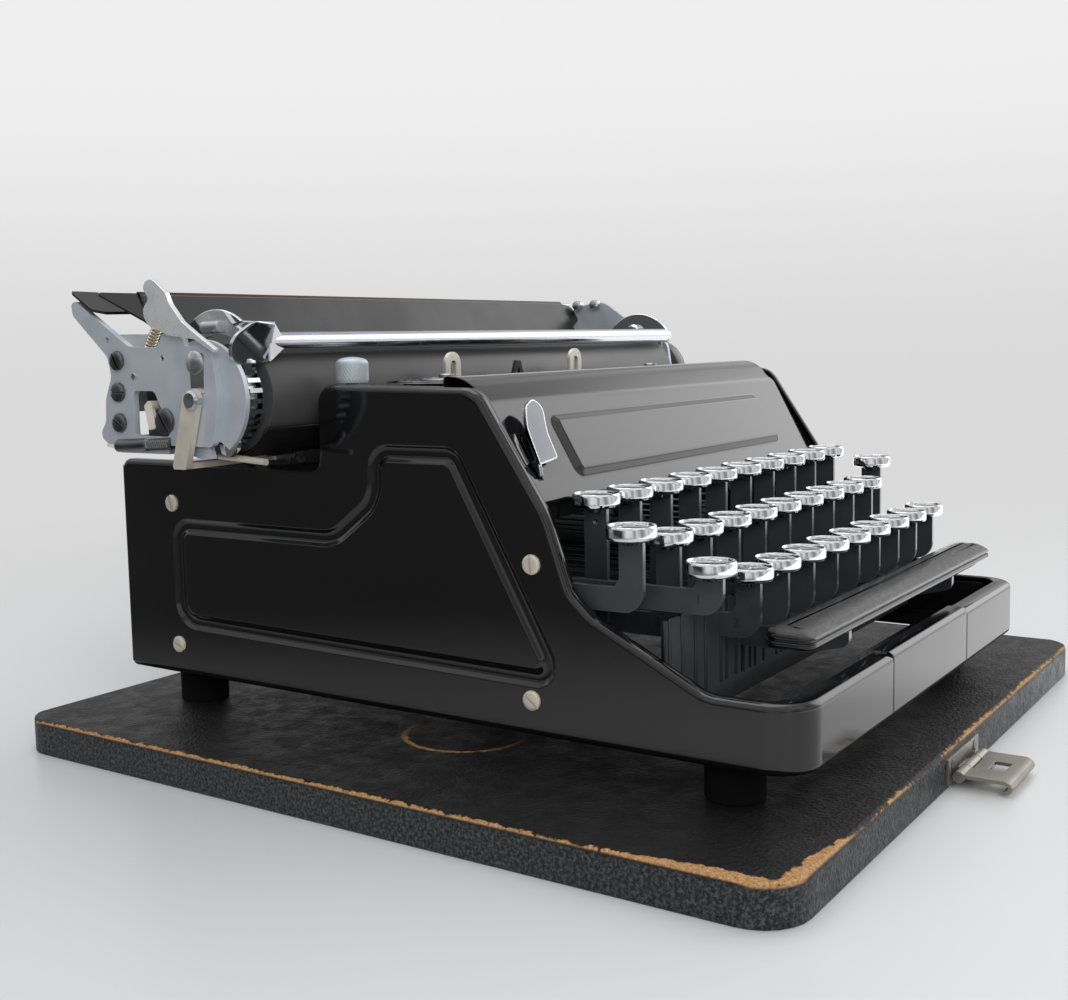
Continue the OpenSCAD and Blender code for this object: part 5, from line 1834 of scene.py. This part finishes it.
@dataclass
class Bail:
    """Paper bail: bar, arched arms and the finger paddle at its left end."""

    shop: Shop
    pivot: Flat = (15.5, 12.0)
    bar: Flat = (-12.3, 16.4)
    bar_r: float = 2.9
    x0: float = -121.0
    x1: float = 136.8
    arm_t: float = 1.4
    # Half width of an arm at its ends and its growth at the middle, and the rise of its arch
    arm_w: Flat = (2.7, 1.0)
    arm_rise: float = 2.6
    leaf: tuple[Point, ...] = (
        (0, -6.0, 1.0), (0, 5.2, 1.0), (-9.6, 6.0, 5.0), (-16.6, 1.0, 5.0), (-14.4, -6.0, 4.0))
    leaf_w: float = 17.0
    leaf_hollow: float = 1.1
    leaf_lean: float = 0.34
    # Depth and growth of the leaf's outline, from its back to its face
    leaf_rings: tuple[Flat, ...] = ((1.3, 0.0), (0.1, 0.0), (0.0, -0.25), (0.15, -0.9))
    # Corners of the two webs from the leaf's right end: across, and front, back and height
    upper_web: tuple[Point, ...] = ((-11.0, -3.0, 5.6), (2.6, -2.6, 5.2), (2.6, 1.2, 4.4), (-11.0, 0.8, 4.8))
    side_web: tuple[Point, ...] = ((-0.4, -3.2, 5.4), (2.4, -2.8, 5.2), (8.0, -1.9, -1.0), (-0.4, -3.2, -5.6))

    def build(self) -> None:
        """Makes the bail's pieces."""
        bench = Bench()
        brushed, bright = range(2)
        pivot, (by, bz) = off([self.pivot, self.bar])
        r, long = self.bar_r, self.x1 - self.x0
        bar = [(0.1, -0.5), (1.0, -0.4), (1.6, 0.1), (1.8, 1.0), (1.8, 2.6), (r, 3.2), (r, long - 0.6),
               (r - 0.5, long)]
        bench.turned((self.x0 - 0.6, by, bz), ACROSS, bar, 36, brushed)
        for x in (self.x0 + 0.2, self.x1 - 1.8):
            bench.side_plate(x, self.arm_t, off(self._arch()), bright)
        for low, high in ((PLATE_LO + 0.3, self.x0 + 1.4), (self.x1 - 1.0, PLATE_HI - 0.3)):
            bench.bar_x(low, high, pivot, 1.5, 20, bright)
        arms = self.shop.piece("paper_bail_assembly", bench.mesh("paper_bail_assembly"), "bail",
                               ["brushed_chrome", "bright_chrome"], "chrome", ("paper_bail",))
        Shop.soften(arms, 0.25, 45.0)
        self._paddle()

    def _arch(self) -> list[Flat]:
        """Outline of an arm: an arch over the platen from its pivot to the bar.

        Returns:
            Its points, from the platen's axis.
        """
        (py, pz), (by, bz) = self.pivot, self.bar
        start, end = math.atan2(pz, py), math.atan2(bz, by)
        slim, growth = self.arm_w
        outer, inner = [], []
        steps = 24
        for i in range(steps + 1):
            u = i / steps
            a = start + (end - start) * u
            arch = math.sin(math.pi * u)
            mid = math.hypot(py, pz) * (1 - u) + math.hypot(by, bz) * u + self.arm_rise * arch
            wide = slim + growth * arch
            outer.append(((mid + wide) * math.cos(a), (mid + wide) * math.sin(a)))
            inner.append(((mid - wide) * math.cos(a), (mid - wide) * math.sin(a)))
        cap_turns = [end + 0.4 + 0.58 * k for k in range(5)]
        foot_turns = [start - 2.8 + 0.55 * k for k in range(5)]
        cap = [(by + 3.1 * math.cos(a), bz + 3.1 * math.sin(a)) for a in cap_turns]
        foot = [(py + 2.8 * math.cos(a), pz + 2.8 * math.sin(a)) for a in foot_turns]
        return outer + cap + inner[::-1] + foot

    def _paddle(self) -> None:
        """Makes the finger paddle: a hollowed leaf with a turned top edge and a web to the bar."""
        bench = Bench()
        y, z = off([self.bar])[0]
        x = self.x0 + 6.5
        leaf = rounded(list(self.leaf), 8.0)
        rings = []
        for depth, grow in self.leaf_rings:
            ring = []
            for p, q in leaf:
                hollow = self.leaf_hollow * math.sin(math.pi * min(max(-p / self.leaf_w, 0), 1))
                pz = z + q * (1 + grow / 7)
                py = y - 3.4 + depth - hollow - self.leaf_lean * (pz - z)
                ring.append((x + p * (1 + grow / 14), py, pz))
            rings.append(ring)
        bench.loft(rings)
        bench.loft([[(x + a, y + b, z + c + rise) for a, b, c in self.upper_web] for rise in (0.0, 0.6)])
        bench.loft([[(x + a, y + b + back, z + c) for a, b, c in self.side_web] for back in (0.0, 0.9)])
        paddle = self.shop.piece("bail_finger_paddle", bench.mesh("bail_finger_paddle", 40.0), "bail",
                                 ["bright_chrome"], "chrome")
        Shop.soften(paddle, 0.2, 45.0)


@dataclass
class CarriageRight:
    """Rounded guards, bead and bumps at the carriage's right end."""

    shop: Shop
    # Place and radius of the guards
    guards: tuple[Point, ...] = ((207.8, 124.1, 2.2), (198.5, 124.3, 2.2), (216.4, 119.1, 2.6))
    bead: tuple[Flat, ...] = ((0.2, -2.0), (2.4, -1.8), (3.1, -0.8), (3.1, 1.6), (2.2, 2.6), (0.2, 2.8))
    bead_at: Point = (133.5, 176.0, 111.5)

    def build(self) -> None:
        """Makes the small pieces at the right end."""
        bench = Bench()
        brushed, bright, ivory = range(3)
        for y, z, r in self.guards:
            guard = [(0.2, -1.2), (r * 0.8, -1.0), (r, 0.0), (r, 2.4), (r * 0.7, 3.2), (0.2, 3.4)]
            bench.turned((136.2, y, z), ACROSS, guard, 28, brushed)
        bench.turned(self.bead_at, ACROSS, list(self.bead), 28, bright)
        bench.block((136.9, 164.0, 100.8), (138.4, 176.0, 107.0), ivory)
        self.shop.piece("carriage_right_fittings", bench.mesh("carriage_right_fittings"), "carriage",
                        ["brushed_chrome", "bright_chrome", "ivory_bead"], "satin_nickel")


# ---------------------------------------------------------------- studio


@dataclass(frozen=True)
class Lamp:
    """A soft square lamp."""

    name: str
    spot: Point
    aim: Point
    size: float
    watts: float
    seen_in_gloss: bool = True


@dataclass
class Studio:
    """Camera, lamps, world and floor."""

    # The camera: lengths in the picture in pixels, its place in millimetres, its turns in degrees
    focal_px: float = 1330.6
    principal: Flat = (504.5, 476.6)
    eye: Point = (-397.1, -242.8, 129.3)
    yaw: float = -55.2
    pitch: float = -5.7
    roll: float = -1.3
    picture: Flat = (1068.0, 1000.0)
    sensor: float = 36.0
    # Tones of the room, seen straight on and as the light that it throws
    wall: Colour = (0.86, 0.86, 0.86)
    horizon: Colour = (0.70, 0.70, 0.70)
    room_light: Colour = (0.42, 0.42, 0.43)
    # Directions of the room's dark side and of its window, as the gloss shows them
    dark_side: Point = (-0.79, 0.58, -0.05)
    window_side: Point = (0.87, -0.31, 0.38)
    window_light: float = 1.6
    floor_half: float = 7.0
    floor_tone: Colour = (0.665, 0.668, 0.672)
    floor_painted_dark: Colour = (0.03, 0.03, 0.032)
    # Across and along shares of the directions in which the floor's reflection gets painted darkening and a
    # painted glow
    painted_dark_way: Flat = (-0.82, 0.57)
    painted_glow_way: Flat = (0.8, -0.6)
    # Strength of the painted glow, brighter than white, that the floor shows only in reflections
    painted_glow_strength: float = 1.45
    lamps: tuple[Lamp, ...] = (
        Lamp("window_lamp", (1.22, -0.55, 0.75), (0.0, -0.02, 0.08), 1.7, 14.0, False),
        Lamp("sky_lamp", (0.1, 0.35, 1.7), (0.0, 0.0, 0.05), 1.3, 9.0),
        Lamp("fill_lamp", (-1.1, -1.1, 0.9), (0.0, 0.0, 0.06), 1.0, 18.0, False))

    def build(self) -> None:
        """Sets up the studio."""
        self._camera()
        self._world()
        self._lamps()
        self._floor()
        bpy.context.scene.view_settings.view_transform = "Standard"
        log.info("studio made")

    def _camera(self) -> None:
        """Puts the camera at the photograph's angle."""
        yaw, pitch, roll = (math.radians(a) for a in (self.yaw, self.pitch, self.roll))
        ahead = Vector((-math.sin(yaw) * math.cos(pitch), math.cos(yaw) * math.cos(pitch), math.sin(pitch)))
        right = ahead.cross(UP).normalized()
        up = right.cross(ahead)
        r = math.cos(roll) * right + math.sin(roll) * up
        u = -math.sin(roll) * right + math.cos(roll) * up
        data = bpy.data.cameras.new("photo_camera")
        data.sensor_fit = "HORIZONTAL"
        data.sensor_width = self.sensor
        wide, high = self.picture
        data.lens = self.focal_px * self.sensor / wide
        data.shift_x = (wide / 2 - self.principal[0]) / wide
        data.shift_y = (self.principal[1] - high / 2) / wide
        data.clip_start = 0.02
        data.clip_end = 30.0
        camera = bpy.data.objects.new("photo_camera", data)
        axes = Matrix((r, u, -ahead)).transposed().to_4x4()
        camera.matrix_world = Matrix.Translation(Vector(self.eye) * MM) @ axes
        bpy.context.scene.collection.objects.link(camera)
        bpy.context.scene.camera = camera

    def _world(self) -> None:
        """A pale room, seen in the gloss with a window, a darker left side and soft uneven patches."""
        world = bpy.data.worlds.new("pale_room")
        bpy.context.scene.world = world
        world.use_nodes = True
        n = Nodes(world.node_tree)
        where = n.node("ShaderNodeTexCoord").outputs["Generated"]
        toward = n.vectors("DOT_PRODUCT", where, self.dark_side)["Value"]
        height = n.split(where)["Z"]
        dark = n.times(n.ramp(toward, 0.7, 0.95, 0.0, 1.0), n.ramp(height, 0.06, 0.22, 1.0, 0.0))
        patch = n.ramp(n.noise(2.3, 2.0, 0.5, where), 0.36, 0.62, 0.3, 0.86)
        low = n.times(patch, n.math("SUBTRACT", 1.0, n.times(dark, 0.95)))
        window = n.vectors("DOT_PRODUCT", where, self.window_side)["Value"]
        glossy = n.plus(low, n.ramp(window, 0.9, 0.975, 0.0, self.window_light))
        glossy = n.plus(glossy, n.ramp(height, 0.35, 0.9, 0.0, 0.3))
        rays = n.node("ShaderNodeLightPath").outputs
        gloss_colour = n.node("ShaderNodeCombineColor")
        for socket in gloss_colour.inputs[:3]:
            n.feed(socket, glossy)
        seen = n.mix(self.horizon, self.wall, n.ramp(height, -0.03, 0.2))
        colour = n.mix(self.room_light, gloss_colour.outputs[0], rays["Is Glossy Ray"])
        colour = n.mix(colour, seen, n.math("MAXIMUM", rays["Is Camera Ray"], rays["Is Transmission Ray"]))
        n.feed(world.node_tree.nodes["Background"].inputs["Color"], colour)

    def _lamps(self) -> None:
        """Hangs the lamps."""
        for kind in self.lamps:
            data = bpy.data.lights.new(kind.name, "AREA")
            data.shape = "SQUARE"
            data.size = kind.size
            data.energy = kind.watts
            lamp = bpy.data.objects.new(kind.name, data)
            lamp.location = kind.spot
            lamp.rotation_euler = (Vector(kind.aim) - Vector(kind.spot)).to_track_quat("-Z", "Y").to_euler()
            lamp.visible_glossy = kind.seen_in_gloss
            bpy.context.scene.collection.objects.link(lamp)

    def _floor(self) -> None:
        """A pale table top that runs into the distance, with painted darkening to the left and a painted glow
        before the machine, both seen only in the gloss.
        """
        half = self.floor_half
        corners = [(-half, -half, 0.0), (half, -half, 0.0), (half, half, 0.0), (-half, half, 0.0)]
        mesh = bpy.data.meshes.new("pale_floor")
        mesh.from_pydata(corners, [], [(0, 1, 2, 3)])
        floor = bpy.data.objects.new("pale_floor", mesh)
        bpy.context.scene.collection.objects.link(floor)
        mat = bpy.data.materials.new("pale_floor")
        mat.use_nodes = True
        n = Nodes(mat.node_tree)
        shader = mat.node_tree.nodes["Principled BSDF"]
        place = n.split(n.coords())
        rays = n.node("ShaderNodeLightPath").outputs
        # Painted darkening: the floor turns dark to the left only where it is seen in reflections
        dark = n.times(n.ramp(self._along(n, place, self.painted_dark_way), 0.12, 0.36), rays["Is Glossy Ray"])
        n.feed(shader.inputs["Base Color"], n.mix(self.floor_tone, self.floor_painted_dark, dark))
        shader.inputs["Roughness"].default_value = 0.3
        shader.inputs["Specular IOR Level"].default_value = 0.35
        # Far off the table runs into the pale wall; in the gloss a patch before the machine glows brighter
        # than white, a painted reflection of a bright window
        away = n.math("SQRT", n.plus(n.times(place["X"], place["X"]), n.times(place["Y"], place["Y"])))
        painted_glow = n.times(n.ramp(self._along(n, place, self.painted_glow_way), 0.08, 0.2), rays["Is Glossy Ray"])
        pale = n.node("ShaderNodeEmission")
        n.feed(pale.inputs["Color"], n.mix(self.horizon, (1.0, 1.0, 1.0), painted_glow))
        n.feed(pale.inputs["Strength"], n.ramp(painted_glow, 0.0, 1.0, 1.0, self.painted_glow_strength))
        blend = n.node("ShaderNodeMixShader")
        n.feed(blend.inputs[0], n.plus(n.times(n.ramp(away, 0.24, 0.72), rays["Is Camera Ray"]), painted_glow))
        n.feed(blend.inputs[1], shader.outputs[0])
        n.feed(blend.inputs[2], pale.outputs[0])
        n.feed(mat.node_tree.nodes["Material Output"].inputs["Surface"], blend.outputs[0])
        mesh.materials.append(mat)

    @staticmethod
    def _along(n: Nodes, place: Wires, way: Flat) -> Wire:
        """Socket of how far a place on the floor lies in a direction."""
        return n.plus(n.times(place["X"], way[0]), n.times(place["Y"], way[1]))


def main() -> None:
    """Builds the scene in order."""
    logging.basicConfig(level=logging.INFO, format="%(name)s: %(message)s")
    Studio().build()
    shop = Shop(Paints())
    for part in (Board, PressedPanels, Cover, Fingerbar, PlainNodes, Keyboard, RibbonDeck, Platen,
                 CarriageEnd, PaperRest, Bail, CarriageRight):
        part(shop).build()
        log.info("%s finished", part.__name__)
    log.info("%d pieces made", shop.made)


if __name__ == "__main__":
    main()
